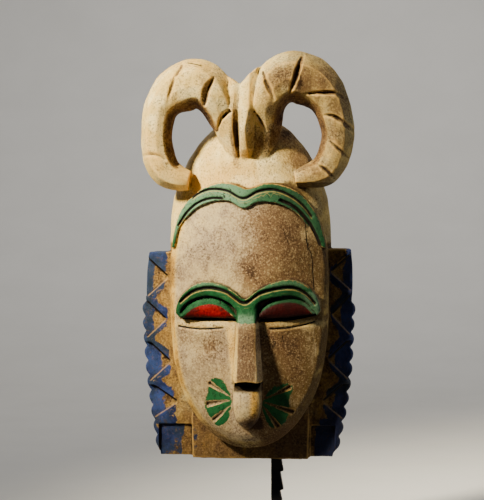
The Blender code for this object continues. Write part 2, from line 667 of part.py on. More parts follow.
def rod_stations():
    """Stations up the rod: y, z, lean (0 upright, a right angle forward) and right edge."""
    half = ROD_SIDE / 2
    rear = BACK_Y + GAP + half
    front = BACK_Y - HOOK_REACH
    roof = roof_height((ROD_X + half) / SHARE, (HOOK_REACH + half) / SHARE)
    tip = MASK_BOTTOM + SHARE * roof - HOOK_HEADROOM
    arm = tip - HOOK_TIP - ROD_BEND
    quarter = np.linspace(0.0, math.pi / 2, 6)
    teeth = int((MASK_LIFT - ROD_SIDE) / ROD_TOOTH_PITCH)
    stations = [(rear, FOOT_HEIGHT - SOCKET_DEPTH, 0.0, half)]
    for tooth in range(teeth, 0, -1):
        low = MASK_BOTTOM - tooth * ROD_TOOTH_PITCH
        stations.append((rear, low - ROD_TOOTH_STEP, 0.0, half))
        stations.append((rear, low, 0.0, half + ROD_TOOTH))
    stations.append((rear, MASK_BOTTOM - ROD_TOOTH_STEP, 0.0, half))
    stations += [(rear - ROD_BEND * (1 - math.cos(lean)), arm - ROD_BEND * (1 - math.sin(lean)), lean, half)
                 for lean in quarter]
    stations += [(front + ROD_BEND * (1 - math.cos(lean)), arm + ROD_BEND * (1 - math.sin(lean)), lean, half)
                 for lean in quarter[::-1]]
    return stations + [(front, tip, 0.0, half)]


def stand_rod():
    """The square iron rod: toothed edge, forward bend and upturned tip under the hollow's roof."""
    half = ROD_SIDE / 2
    rings = []
    for y, z, lean, right in rod_stations():
        dy, dz = half * math.cos(lean), half * math.sin(lean)
        rings.append([Vector((ROD_X - half, y - dy, z - dz)), Vector((ROD_X + right, y - dy, z - dz)),
                      Vector((ROD_X + right, y + dy, z + dz)), Vector((ROD_X - half, y + dy, z + dz))])
    return lofted("stand_rod", [rings], make_material(IRON))


def stand_foot():
    """The black foot, with a socket for the rod."""
    bm = bmesh.new()
    bmesh.ops.create_cube(bm, size=1.0)
    bmesh.ops.scale(bm, vec=(FOOT_WIDTH, FOOT_DEPTH, FOOT_HEIGHT), verts=bm.verts)
    bmesh.ops.translate(bm, vec=(0, 0, FOOT_HEIGHT / 2), verts=bm.verts)
    foot = add_object("stand_foot", bm, make_material(FOOT_PAINT))
    bevel = foot.modifiers.new("worn edges", "BEVEL")
    bevel.width = FOOT_BEVEL
    bevel.segments = 2
    socket = bmesh.new()
    bmesh.ops.create_cube(socket, size=1.0)
    side = ROD_SIDE + 2 * GAP
    bmesh.ops.scale(socket, vec=(side, side, SOCKET_DEPTH * 2), verts=socket.verts)
    place = (ROD_X, BACK_Y + GAP + ROD_SIDE / 2, FOOT_HEIGHT - GAP)
    bmesh.ops.translate(socket, vec=place, verts=socket.verts)
    boolean(foot, add_object("rod_socket", socket, None), "DIFFERENCE")
    return foot


clear_scene()
mask()
stand_rod()
stand_foot()
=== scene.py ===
# %% [markdown]
# # The looks of a carved guro mask
# The mask is cut from one block of light wood and painted cream, green, red and blue. Years of
# handling have worn the paint off the ridges and left brown dirt in the cuts. The finish also
# paints in shade, in the cuts and on the side away from the light, and some highlights. The
# imported solids give its size and main forms. This lesson makes a finer surface over them, from
# the same measures, and then the finish.

# %% Load the imported solids
import math

import bpy
import numpy as np
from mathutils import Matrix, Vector


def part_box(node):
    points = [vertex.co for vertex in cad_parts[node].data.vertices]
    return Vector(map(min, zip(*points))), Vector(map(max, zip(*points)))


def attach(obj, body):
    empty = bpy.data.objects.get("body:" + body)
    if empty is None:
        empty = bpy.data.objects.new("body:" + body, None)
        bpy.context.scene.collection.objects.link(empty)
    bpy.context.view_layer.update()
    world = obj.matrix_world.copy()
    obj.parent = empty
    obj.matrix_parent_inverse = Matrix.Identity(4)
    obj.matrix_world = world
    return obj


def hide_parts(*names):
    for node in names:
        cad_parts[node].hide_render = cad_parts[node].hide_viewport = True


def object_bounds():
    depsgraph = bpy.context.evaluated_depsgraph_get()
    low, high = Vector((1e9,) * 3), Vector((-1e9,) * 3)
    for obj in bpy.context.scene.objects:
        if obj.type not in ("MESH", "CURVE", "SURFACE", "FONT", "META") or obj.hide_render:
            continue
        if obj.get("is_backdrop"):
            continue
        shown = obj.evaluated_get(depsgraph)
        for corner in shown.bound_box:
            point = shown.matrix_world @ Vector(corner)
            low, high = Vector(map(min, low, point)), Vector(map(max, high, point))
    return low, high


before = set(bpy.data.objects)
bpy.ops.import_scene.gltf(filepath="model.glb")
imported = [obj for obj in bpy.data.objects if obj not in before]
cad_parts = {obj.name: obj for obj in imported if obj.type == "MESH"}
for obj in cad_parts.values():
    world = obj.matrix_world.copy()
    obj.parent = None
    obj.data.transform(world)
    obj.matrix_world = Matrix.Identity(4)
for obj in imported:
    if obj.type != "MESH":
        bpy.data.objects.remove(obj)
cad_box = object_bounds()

print("nodes:", sorted(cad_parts))

# %% [markdown]
# Places on the carving are written in shares: one share is a millimetre on the real mask. They
# are (x, depth, z): x to the right, depth forward from the flat back, z up from the lower edge.
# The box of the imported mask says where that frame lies, so nothing has to be fitted. Millimetres
# keep the tables below short, and each of them can be held against the photograph.

# %% Places on the carving
MASK_SHARES = 357.3
mask_low, mask_high = (np.array(corner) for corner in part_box("mask"))
SHARE = (mask_high[2] - mask_low[2]) / MASK_SHARES
BACK_Y = mask_high[1]
MASK_BOTTOM = mask_low[2]


def together(x, depth, z):
    """One array of places from three arrays of numbers, spread to a common shape."""
    return np.stack(np.broadcast_arrays(x, depth, z), axis=-1)


def to_world(points):
    """Shares (x, depth, z) as metres: x, back minus depth, lower edge plus z."""
    return together(points[..., 0] * SHARE, BACK_Y - points[..., 1] * SHARE,
                    MASK_BOTTOM + points[..., 2] * SHARE)


def to_shares(places):
    """The other way round: metres as x, depth and z in shares."""
    return places[:, 0] / SHARE, (BACK_Y - places[:, 1]) / SHARE, (places[:, 2] - MASK_BOTTOM) / SHARE


print(f"one share is {SHARE * 1000:.3f} mm, the back stands at y = {BACK_Y:.3f} m")

# %% [markdown]
# The photograph was taken from a little to the right and just above the middle of the mask, with
# a long lens: its sides hardly converge. The frame is 484 by 500 pixels and a pixel is 0.876 mm
# at the mask, which fixes the lens once the distance is chosen.

# %% The camera
PHOTO_WIDTH = 484
PIXEL = 0.000876
CAMERA_TURN = math.radians(5.0)
CAMERA_RISE = math.radians(2.5)
CAMERA_DISTANCE = 1.45
AIM_X = -0.0055
AIM_Z = 0.184

lens = bpy.data.cameras.new("camera")
camera = bpy.data.objects.new("camera", lens)
bpy.context.scene.collection.objects.link(camera)
backward = Vector((math.sin(CAMERA_TURN) * math.cos(CAMERA_RISE),
                   -math.cos(CAMERA_TURN) * math.cos(CAMERA_RISE), math.sin(CAMERA_RISE)))
camera.location = Vector((AIM_X, 0.0, MASK_BOTTOM + AIM_Z)) + backward * CAMERA_DISTANCE
camera.rotation_euler = (-backward).to_track_quat("-Z", "Y").to_euler()
lens.sensor_fit = "HORIZONTAL"
lens.lens = lens.sensor_width * CAMERA_DISTANCE / (PIXEL * PHOTO_WIDTH)
lens.clip_end = 20.0
bpy.context.scene.camera = camera
print(f"camera at {tuple(round(v, 3) for v in camera.location)}, lens {lens.lens:.0f} mm")

# %% [markdown]
# A studio sweep is one sheet that lies flat under the object and curves up far behind it, so no
# horizon line shows. The key light stands high on the left, as the bright left cheek and the dark
# shade under the chin tell, with a grid that keeps its beam narrow. A weak cool light from the
# right picks out the right edges, and there is hardly any fill, so the right half of the collar
# stays in the shade of the face. One box is turned to the paper, so that it stays pale, and one
# behind shows the hollow when the mask is turned round.

# %% The studio
SWEEP_WIDTH = 7.0
SWEEP_FRONT = -3.0
SWEEP_BACK = 1.1
SWEEP_CURVE = 1.9
SWEEP_TOP = 3.6


def shade_smooth(mesh):
    """Let the light run on evenly from face to face."""
    mesh.polygons.foreach_set("use_smooth", np.full(len(mesh.polygons), True))
    mesh.update()


def mesh_object(name, verts, faces):
    """An object from an array of places and an array of faces."""
    mesh = bpy.data.meshes.new(name)
    mesh.from_pydata(verts.tolist(), [], faces.tolist())
    shade_smooth(mesh)
    thing = bpy.data.objects.new(name, mesh)
    bpy.context.scene.collection.objects.link(thing)
    return thing


def sheet_faces(rows, columns):
    """Quads of an open grid of rows by columns."""
    first = (np.arange(rows - 1)[:, None] * columns + np.arange(columns - 1)).reshape(-1, 1)
    return first + (0, 1, columns + 1, columns)


turn = np.linspace(0.0, math.pi / 2, 24)
profile = np.concatenate([
    [[SWEEP_FRONT, 0.0]],
    np.stack([SWEEP_BACK + SWEEP_CURVE * np.sin(turn), SWEEP_CURVE * (1 - np.cos(turn))], axis=-1),
    [[SWEEP_BACK + SWEEP_CURVE, SWEEP_TOP]]])
across = np.linspace(SWEEP_WIDTH / 2, -SWEEP_WIDTH / 2, 3)
grid = together(across, profile[:, :1], profile[:, 1:])
floor = mesh_object("floor", grid.reshape(-1, 3), sheet_faces(*grid.shape[:2]))
floor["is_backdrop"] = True


def area_light(name, place, aim, size, watts, colour, spread):
    """A square soft box turned to its aim; a grid narrows its beam to the spread in degrees."""
    lamp = bpy.data.lights.new(name, "AREA")
    lamp.size = size
    lamp.energy = watts
    lamp.color = colour
    lamp.spread = math.radians(spread)
    holder = bpy.data.objects.new(name, lamp)
    holder.location = place
    holder.rotation_euler = (Vector(aim) - Vector(place)).to_track_quat("-Z", "Y").to_euler()
    bpy.context.scene.collection.objects.link(holder)


middle = (0.0, 0.0, MASK_BOTTOM + 0.18)
brightest = (-0.09, 0.0, MASK_BOTTOM + 0.27)
area_light("key", (-1.17, -1.16, 1.45), brightest, 0.26, 2.3, (1.0, 0.90, 0.68), 20.0)
area_light("fill", (0.9, -1.6, 0.6), middle, 1.2, 0.10, (1.0, 0.93, 0.80), 60.0)
area_light("edge", (1.25, 0.08, 0.75), middle, 0.5, 0.6, (0.88, 0.95, 1.0), 60.0)
area_light("paper", (0.0, 0.9, 2.9), (0.0, 2.3, 0.4), 1.6, 24.0, (1.0, 0.98, 0.95), 110.0)
area_light("behind", (-0.9, 1.5, 0.9), middle, 0.8, 0.8, (1.0, 0.97, 0.92), 60.0)
world = bpy.data.worlds.new("studio")
bpy.context.scene.world = world
world.use_nodes = True
world.node_tree.nodes["Background"].inputs["Color"].default_value = (0.80, 0.81, 0.83, 1.0)
world.node_tree.nodes["Background"].inputs["Strength"].default_value = 0.03
print("studio: one sweep, five soft boxes")

# %% [markdown]
# Most of the carving follows a few smooth curves: the outline of the face, the hair line, the
# brows. Each is written as a handful of points, and a Catmull-Rom spline passes through them.
# Spacing the rows evenly along the curve keeps the carved band the same fineness all along.

# %% Smooth curves through a few points


def spline(points, count, closed=False):
    """Even rows along a Catmull-Rom curve.

    Between two knots it is half of (2 p1 + (p2 - p0) t + (2 p0 - 5 p1 + 4 p2 - p3) t^2
    + (3 p1 - p0 - 3 p2 + p3) t^3), sampled finely and then read again at equal lengths.
    """
    knots = np.array(points, dtype=float)
    if closed:
        knots = np.vstack([knots[-1], knots, knots[:2]])
    else:
        knots = np.vstack([2 * knots[0] - knots[1], knots, 2 * knots[-1] - knots[-2]])
    t = np.linspace(0.0, 1.0, 25)[:-1][None, :, None]
    p0, p1, p2, p3 = (knots[k:len(knots) - 3 + k][:, None] for k in range(4))
    rows = 0.5 * (2 * p1 + (p2 - p0) * t + (2 * p0 - 5 * p1 + 4 * p2 - p3) * t ** 2
                  + (3 * p1 - p0 - 3 * p2 + p3) * t ** 3)
    rows = rows.reshape(-1, knots.shape[1])
    rows = np.vstack([rows, rows[:1] if closed else knots[-2][None]])
    run = np.concatenate([[0.0], np.cumsum(np.linalg.norm(np.diff(rows, axis=0), axis=1))])
    wanted = np.linspace(0.0, run[-1], count + closed)[:count]
    return np.column_stack([np.interp(wanted, run, column) for column in rows.T])


def headings(rows):
    """The unit direction of a curve at each of its rows."""
    along = np.gradient(rows, axis=0)
    return along / np.linalg.norm(along, axis=1)[:, None]


def between(upper, lower, count):
    """The closed outline of the shape between two curves."""
    return np.vstack([spline(upper, count), spline(lower, count)[::-1]])


print("a curve through 3 points has", len(spline([(0, 0), (1, 1), (2, 0)], 9)), "rows")

# %% [markdown]
# Every part of the carving is made as a closed shell first: rings of points, joined to each other
# and closed at both ends. The shells overlap, as clay pieces pressed together would. Shells that
# will be cut away later go into a list of their own.

# %% Closed shells from rings
shells = []
cutters = []


def shell(name, rings, keep=shells):
    """A closed surface through rings (rings by points by 3, in shares), with a fan at each end.

    The volume's sign, the sum of p0 . (p1 x p2) over its triangles, tells which way the faces
    look, and they are turned round where they look in.
    """
    rings = np.asarray(rings, dtype=float)
    count, around = rings.shape[:2]
    ends = rings[[0, -1]].mean(axis=1)
    verts = to_world(np.vstack([rings.reshape(-1, 3), ends]))
    edge = np.arange(around)
    after = (edge + 1) % around
    ring = np.arange(count - 1)[:, None] * around
    first = together(ring + edge, ring + after, ring + after + around).reshape(-1, 3)
    second = together(ring + edge, ring + after + around, ring + edge + around).reshape(-1, 3)
    last = (count - 1) * around
    start = together(after, edge, count * around)
    end = together(last + edge, last + after, count * around + 1)
    faces = np.vstack([first, second, start, end])
    corners = verts[faces]
    volume = np.einsum("ij,ij->", corners[:, 0], np.cross(corners[:, 1], corners[:, 2])) / 6
    if volume < 0:
        faces = faces[:, ::-1]
    thing = mesh_object(name, verts, faces)
    keep.append(thing)
    return thing


# %% [markdown]
# The head is an egg: level sections that are flat behind, upright at the rim and round in front.
# Half widths and depths are read from a short table of levels, with straight lines between; the
# remesh and the knife marks round the slight bends off later.

# %% The head
HEAD = ((0.8, 60, 26), (30, 62, 30), (70, 66, 36), (110, 69, 42), (150, 71, 46), (190, 72, 49),
        (212, 71, 50), (230, 68.5, 50), (246, 63.5, 48), (262, 56, 45), (276, 47, 40),
        (289, 35, 33), (298, 22, 25), (303, 8, 17))
HEAD_RIM = 12.0
HEAD_BACK = 0.96
ROOF = 290.0
ROOF_RISE = 30.0
WALL = 13.0
FACE_ROOM = 10.0


def head_size(z):
    """Half width and depth of the head at heights z."""
    level, half, depth = np.array(HEAD, dtype=float).T
    return np.interp(z, level, half), np.interp(z, level, depth)


def head_rings():
    """x = half cos t and depth = rim + (depth - rim) sin t, a little narrower at the flat back."""
    z = np.concatenate([np.linspace(HEAD[0][0], 240, 90), np.linspace(241.5, HEAD[-1][0], 45)])[:, None]
    half, depth = head_size(z)
    t = np.linspace(0.0, math.pi, 121)
    rim = np.minimum(HEAD_RIM, depth * 0.5)
    front = together(half * np.cos(t), rim + (depth - rim) * np.sin(t), z)
    back = [together(side * HEAD_BACK * half, 0.0, z) for side in (1, -1)]
    return np.concatenate([back[0], front, back[1]], axis=1)


def hollow_rings():
    """The same egg, one wall smaller, closing as a quarter ellipse towards the roof.

    Behind the face it is deeper by a bell curve, because the face plate adds to the wall there.
    """
    arch = np.sin(np.linspace(-0.3, math.pi / 2, 24))
    z = np.concatenate([np.linspace(WALL, 250, 60), ROOF - ROOF_RISE + ROOF_RISE * arch])[:, None]
    half, depth = head_size(z)
    closing = np.sqrt(np.maximum(0.02, 1.0 - np.maximum(0.0, (z - ROOF + ROOF_RISE) / ROOF_RISE) ** 2))
    room = FACE_ROOM * np.exp(-((z - 120.0) / 60.0) ** 2)
    wide = np.maximum(3.0, (half - WALL) * closing)
    reach = np.maximum(3.0, (depth - WALL + room) * closing)
    t = np.linspace(0.0, math.pi, 91)
    front = together(wide * np.cos(t), reach * np.sin(t), z)
    behind = [together(side * wide, -3.0, z) for side in (1, -1)]
    return np.concatenate([behind[0], front, behind[1]], axis=1)


head = shell("head", head_rings())
hollow = shell("hollow", hollow_rings(), cutters)
print("head and hollow:", len(head.data.vertices), "and", len(hollow.data.vertices), "points")

# %% [markdown]
# The face stands out from the head like a shield: an oval with an upright edge, a bevel that is
# widest under the chin, and a front that is round from side to side and from hair to chin.

# %% The face plate
FACE_X = 1.5
FACE_Z = 130.0
FACE_HALF = 72.0
RIM_DEPTH = 50.0
FACE_HALF_OUTLINE = ((0, 12), (13, 13), (25, 18.5), (36, 27), (45, 37.5), (52.5, 49), (59, 63),
                     (63.5, 79), (67, 100), (69, 125), (69.3, 155), (68, 180), (65, 198),
                     (60, 211), (53, 223), (43.5, 233), (31, 239.5), (20, 241.5), (9, 240))
FACE_DIP = (FACE_X - 1.5, 236.5)
BEVEL_ACROSS, BEVEL_BELOW, BEVEL_ABOVE = 0.925, 0.89, 0.965
BEVEL_SWELL = 1.2


def face_depth(x, z):
    """71 less 17 of the squared share across, 10 of the squared share up, and 8 below the chin."""
    across = ((x - FACE_X) / FACE_HALF) ** 2
    along = ((z - 115.0) / 130.0) ** 2
    chin = np.maximum(0.0, (45.0 - z) / 33.0) ** 2
    return 71.0 - 17.0 * across - 10.0 * along - 8.0 * chin


def face_outline(count):
    """Both halves of the oval, with the dip of the hair line between them."""
    right = [(FACE_X + x, z) for x, z in FACE_HALF_OUTLINE]
    left = [(FACE_X - x, z) for x, z in reversed(FACE_HALF_OUTLINE[1:])]
    return spline(right + [FACE_DIP] + left, count, closed=True)


def face_rings():
    """The outline from back to rim, a swollen bevel, then rings drawn in over the front."""
    x, z = face_outline(400).T
    edge = together(x, np.linspace(8.0, RIM_DEPTH, 12)[:, None], z)
    share = np.concatenate([np.linspace(1.0, 0.1, 56), [0.04]])[:, None]
    px = FACE_X + (x - FACE_X) * BEVEL_ACROSS * share
    pz = FACE_Z + (z - FACE_Z) * np.where(z < FACE_Z, BEVEL_BELOW, BEVEL_ABOVE) * share
    front = together(px, face_depth(px, pz), pz)
    blend = np.linspace(0.0, 1.0, 8)[1:-1, None, None]
    bevel = edge[-1] + (front[0] - edge[-1]) * blend
    bevel[..., 1] += BEVEL_SWELL * np.sin(math.pi * blend[..., 0])
    return np.concatenate([edge, bevel, front])


face = shell("face_plate", face_rings())
print("face plate:", len(face.data.vertices), "points")

# %% [markdown]
# A band between two curves is the form of the hair band, the brows, the lids and the hollows
# under the brows. One function makes them all: an upper curve, a lower curve, and how far
# forward the front lies at each point. A crown swells its middle.

# %% Bands between two curves


def band_rings(upper, lower, front, back, count=160, crown=0.0, across=9):
    """front(x, z) across the band, plus crown times (1 - s^2), closed at the depth `back`."""
    top = spline(upper, count)[:, None]
    low = spline(lower, count)[:, None]
    s = np.linspace(0.0, 1.0, across)[:, None]
    x, z = np.moveaxis(top + (low - top) * s, -1, 0)
    face = together(x, front(x, z) + crown * (1 - (2 * s[:, 0] - 1) ** 2), z)
    behind = face[:, [-1, 0]].copy()
    behind[..., 1] = back
    return np.concatenate([face, behind], axis=1)


BAND_RELIEF = 3.0
HAIR_OUTER = ((-65.5, 186), (-63, 202), (-56, 221), (-42, 235), (-28, 241.5), (-15, 242.5),
              (-5, 239.5), (0, 237.5), (6, 238.5), (17, 242), (31, 240.5), (46, 233.5),
              (58, 220), (66, 201), (69, 186))
HAIR_INNER = ((-62.5, 187), (-58, 205), (-44, 220.5), (-28, 227), (-14, 227), (-2, 221),
              (10, 226), (25, 225.5), (42, 218), (55, 203), (65.5, 187))
BROW_UPPER = ((-61, 131), (-58, 142), (-47, 153.5), (-33, 158), (-19, 155), (-8, 149), (0, 143.5),
              (11, 151), (24, 157.5), (39, 160), (52, 155.5), (61, 146), (65, 133))
BROW_LOWER = ((-57.5, 127), (-54, 136), (-43, 143.5), (-28, 145.5), (-13, 140), (0.5, 127),
              (13, 141), (28, 145.3), (41, 145.6), (52.5, 141), (61.5, 129))


def hair_front(x, z):
    """The hair band, proud of the face."""
    return face_depth(x, z) + BAND_RELIEF


def brow_front(x, z):
    """The brows, level over the nose and falling back towards the temples."""
    return 78.0 - 15.0 * ((x - FACE_X) / FACE_HALF) ** 2


shell("hair_band", band_rings(HAIR_OUTER, HAIR_INNER, hair_front, 40.0, 260))
shell("brows", band_rings(BROW_UPPER, BROW_LOWER, brow_front, 52.0, 260, 0.8))
print("hair band and brows made")

# %% [markdown]
# Under each brow lies a deep shade, and in it the red upper lid, a half moon that is round in
# front. The lower edge of the shade is the eye's slit.

# %% The eyes
EYES = (
    (((-57.5, 128), (-50, 139.5), (-33, 146), (-18, 142), (-7, 131)),
     ((-57.5, 125.0), (-32, 124.2), (-7, 124.4))),
    (((10, 130), (19, 141), (36, 146.5), (51, 142), (61, 132)),
     ((10, 124.0), (35, 124.7), (61, 128.8))))
LIDS = (
    (((-56.6, 128.8), (-48.3, 138.4), (-32.6, 144.7), (-17.9, 140.5), (-7.4, 129.6)),
     ((-56.6, 126.4), (-31.5, 127), (-7.4, 126.4))),
    (((10.4, 128.6), (19, 139.3), (36, 145.3), (51, 140.6), (60.3, 131.4)),
     ((10.4, 125.8), (34.5, 127.4), (59, 130.2))))


def lid_front(x, z):
    """The lids, set back under the brows."""
    return 73.2 - 10.0 * ((x - FACE_X) / FACE_HALF) ** 2


def air(x, z):
    """The front of the cut that makes the shade, far out in the air."""
    return np.full_like(x, 90.0)


eye_cuts = []
for side, (upper, lower) in enumerate(EYES):
    rings = band_rings(upper, lower, air, 0.0, 90)
    rings[:, -2:, 1] = 65.0 - 9.0 * (rings[:, -2:, 0] / FACE_HALF) ** 2
    shell(f"eye_shade_{side}", rings, eye_cuts)
lids = []
for side, (upper, lower) in enumerate(LIDS):
    shell(f"lid_{side}", band_rings(upper, lower, lid_front, 48.0, 90, 2.4, 13), lids)
print("eyes:", len(eye_cuts), "shades and", len(lids), "lids")

# %% [markdown]
# The nose and the mouth are upright bodies with a flat ridge and slanted sides. A few sections
# down their length are enough, with a smooth curve between them.

# %% The nose and the mouth
NOSE = ((1.5, 8.5, 10.0, 77.0, 139.0), (2.0, 8.0, 9.8, 80.0, 128.0), (2.5, 8.1, 10.8, 87.0, 104.0),
        (2.8, 9.2, 12.3, 93.0, 80.0), (2.8, 9.6, 12.6, 93.5, 73.0))
MUZZLE = ((2.2, 10.5, 12.0, 80.0, 74.0), (2.2, 10.8, 12.0, 84.0, 66.0), (2.3, 11.2, 12.2, 86.0, 57.0),
          (2.3, 10.4, 11.6, 85.5, 48.0), (1.8, 8.0, 9.6, 82.0, 40.0), (1.6, 4.6, 6.4, 75.5, 34.5),
          (1.6, 2.2, 3.6, 69.0, 31.0))


SIDES = np.array([1.0, -1.0])
SHOULDER = 0.8
SLANT = 8.2


def upright_rings(sections, back, swell):
    """Ridge, rounded shoulder and slanted side at each level; the ridge swells by `swell`."""
    x, front, base, depth, z = spline(sections, 70).T[:, :, None]
    s = np.linspace(-1.0, 1.0, 15)
    ridge = together(x + front * s, depth - SHOULDER * s ** 6 + swell * (1 - s ** 2), z)
    t = np.linspace(0.0, 1.0, 7)[1:]
    right, left = (together(x + side * (front + (base - front) * t), depth - SHOULDER - SLANT * t, z)
                   for side in SIDES)
    rear = together(x + SIDES * base, back, z)
    return np.concatenate([ridge, right, rear, left[:, ::-1]], axis=1)


features = []
shell("nose", upright_rings(NOSE, 60.0, 0.5), features)
shell("mouth", upright_rings(MUZZLE, 56.0, 2.5), features)
print("nose and mouth made")

# %% [markdown]
# The collar is a thick flap down each side. Its outer edge is carved in a row of rounded teeth,
# which reach furthest in the middle of the flap's thickness. Between the flaps, under the chin,
# an upright panel closes the neck.

# %% The collar and the neck
COLLAR_LEFT = ((-88.5, 182), (-90.5, 168), (-91.5, 140), (-91.5, 122), (-89.5, 87), (-87.5, 66),
               (-84.5, 42), (-81, 18), (-79, 1.5))
COLLAR_RIGHT = ((89.5, 185), (91, 168), (91, 150), (90, 135), (88.5, 100), (87, 75), (84, 50),
                (80.5, 30), (74, 1.5))
COLLAR_ROOT = 42.0
COLLAR_BACK, COLLAR_MID, COLLAR_FRONT = 11.0, 25.0, 34.0
NECK = ((51.0, 38.0, 0.0), (52.0, 38.0, 34.0), (50.0, 36.5, 62.0))
SCALLOP_PITCH = 13.2
SCALLOP_RISE = 4.0
SCALLOP_TOP = 138.0


def edge_at(edge, z):
    """The collar's outer edge at heights z."""
    return np.interp(-z, -edge[:, 1], edge[:, 0])


def collar_rings(edge, side):
    """Level sections; teeth stand out by rise |sin(pi z / pitch)|^0.6 except at the front edge."""
    rows = spline(edge, 200)
    foot, top = rows[-1, 1], rows[0, 1]
    z = np.linspace(top, foot, 300)
    x = edge_at(rows, z)
    toothed = (z < SCALLOP_TOP) & (z > foot + 4)
    swell = np.where(toothed, np.abs(np.sin(math.pi * (SCALLOP_TOP - z) / SCALLOP_PITCH)) ** 0.6, 0.0)
    swell *= side * SCALLOP_RISE
    root = side * COLLAR_ROOT
    corners = ((root, COLLAR_BACK), (0.96 * x + swell, COLLAR_BACK), (x + swell, COLLAR_MID),
               (x + 0.6 * swell, COLLAR_MID + 5.5), (x, COLLAR_FRONT), (root, COLLAR_FRONT))
    return np.stack([together(place, depth, z) for place, depth in corners], axis=1)


def neck_rings():
    """A panel whose front falls back by 2 s^2 from its middle."""
    half, depth, z = np.array(NECK).T[:, :, None]
    s = np.linspace(-1.0, 1.0, 21)
    front = together(FACE_X + half * s, depth - 2 * s * s, z)
    rear = together(FACE_X + SIDES * half, 6.0, z)
    return np.concatenate([front, rear], axis=1)


shell("collar_left", collar_rings(COLLAR_LEFT, -1))
shell("collar_right", collar_rings(COLLAR_RIGHT, 1))
shell("neck", neck_rings())
print("collar and neck made")

# %% [markdown]
# A horn is one profile carried along a path. The profile has flat facets with their edges rubbed
# down, and it swells from the root to the crest and shrinks to the tip. Its sideways direction
# turns with the path and points towards the loop, and that turning is smoothed, so that the rings
# don't cross inside the tight curve.

# %% The horns
HORN_LEFT = ((-9.5, 30, 262, 6.5, 12), (-16, 37, 286, 11.5, 16), (-25, 46, 312, 17.5, 20),
             (-35, 47.5, 325, 21, 21), (-47.5, 47, 328.4, 22.4, 21), (-63, 46, 322, 20.5, 19),
             (-76, 45, 307.5, 15.2, 17), (-80, 44, 285, 13.6, 16), (-78, 44, 265, 14.3, 15),
             (-71, 43.5, 252, 13.5, 14), (-60, 43, 246, 11, 12.5), (-51, 42, 244.4, 8.6, 11))
HORN_RIGHT = ((10, 30, 262, 13, 14), (13, 35, 286, 14.4, 15), (16, 46, 311, 16.8, 20),
              (24, 48, 327, 20.5, 21), (39.5, 48, 334.3, 23, 21), (58, 46.5, 328, 21.5, 19),
              (71.5, 45.5, 312, 16.8, 17), (78, 45, 287, 14.4, 16), (74.5, 44.5, 266, 14.4, 15),
              (65.5, 43.5, 252.8, 13.6, 14), (51, 42.5, 248, 10, 12), (41.5, 41.5, 246.5, 6.8, 10))
HORN_SECTION = ((1.0, -0.15), (0.84, 0.34), (0.58, 0.82), (0.16, 1.0), (-0.46, 0.93), (-0.74, 0.44),
                (-1.0, -0.1), (-0.85, -0.7), (-0.3, -1.0), (0.45, -0.95), (0.88, -0.65))
HORN_ROWS = 200
HORN_AROUND = 66
FACET_SHARE = 0.8
TURN_ROUNDS = 150


def horn_path(stations):
    """Rows along the horn and the unit direction of its path in front view.

    Each round gives a direction half its own value and a quarter of each neighbour's.
    """
    rows = spline(stations, HORN_ROWS)
    along = np.gradient(rows[:, (0, 2)], axis=0)
    for _ in range(TURN_ROUNDS):
        along[1:-1] = (along[:-2] + 2 * along[1:-1] + along[2:]) / 4
    return rows, along / np.linalg.norm(along, axis=1)[:, None]


def horn_rings(stations, side):
    """Path point plus towards times half width, with depth plus forward times half thickness.

    The profile is four fifths the straight facets and one fifth a smooth curve through them.
    """
    rows, along = horn_path(stations)
    x, depth, z, half, thick = rows.T[:, :, None]
    facets = np.array(HORN_SECTION + HORN_SECTION[:1])
    places = np.linspace(0, len(facets) - 1, HORN_AROUND + 1)[:-1]
    straight = np.array([np.interp(places, np.arange(len(facets)), column) for column in facets.T])
    curved = spline(HORN_SECTION, HORN_AROUND, closed=True).T
    towards, front = (1 - FACET_SHARE) * curved + FACET_SHARE * straight
    step_x, step_z = along.T[:, :, None]
    return together(x + side * step_z * towards * half, depth + front * thick,
                    z - side * step_x * towards * half)


HORNS = ((-1, HORN_LEFT), (1, HORN_RIGHT))
for side, stations in HORNS:
    shell(f"horn_{side}", horn_rings(stations, side))
print(len(HORNS), "horns made")

# %% [markdown]
# Between the horns stands the block of their roots, with a sharp groove left of its ridge. Each
# row of the table is a height and the corners of the block's section there, from left to right.

# %% The stem
STEM = ((263, ((-12, 28), (-11, 40), (-9.5, 42), (-8.5, 42.5), (-7.6, 41), (-6.5, 43),
               (0.5, 44), (5, 40), (6, 28))),
        (272, ((-16, 28), (-15, 43), (-12, 49), (-10.5, 51), (-7.9, 45), (-5.6, 52.5),
               (0.5, 54.5), (6, 44), (9, 28))),
        (289, ((-27, 30), (-26, 46), (-20, 56), (-12, 59), (-8.4, 50), (-5.2, 61),
               (-1, 63.5), (8, 48), (20, 30))),
        (306, ((-27, 32), (-28, 50), (-21, 60), (-12, 61.5), (-7.4, 58), (-5, 63.5),
               (2.5, 66), (11, 56), (20, 32))),
        (328, ((-17, 36), (-16.5, 48), (-13.5, 55), (-10, 57), (-6.5, 56.3), (-3, 57.5),
               (3, 59), (9, 55), (11, 36))))
STEM_DIP_X = -6.0
LEFT_SLOPE, RIGHT_SLOPE = 0.65, 1.0


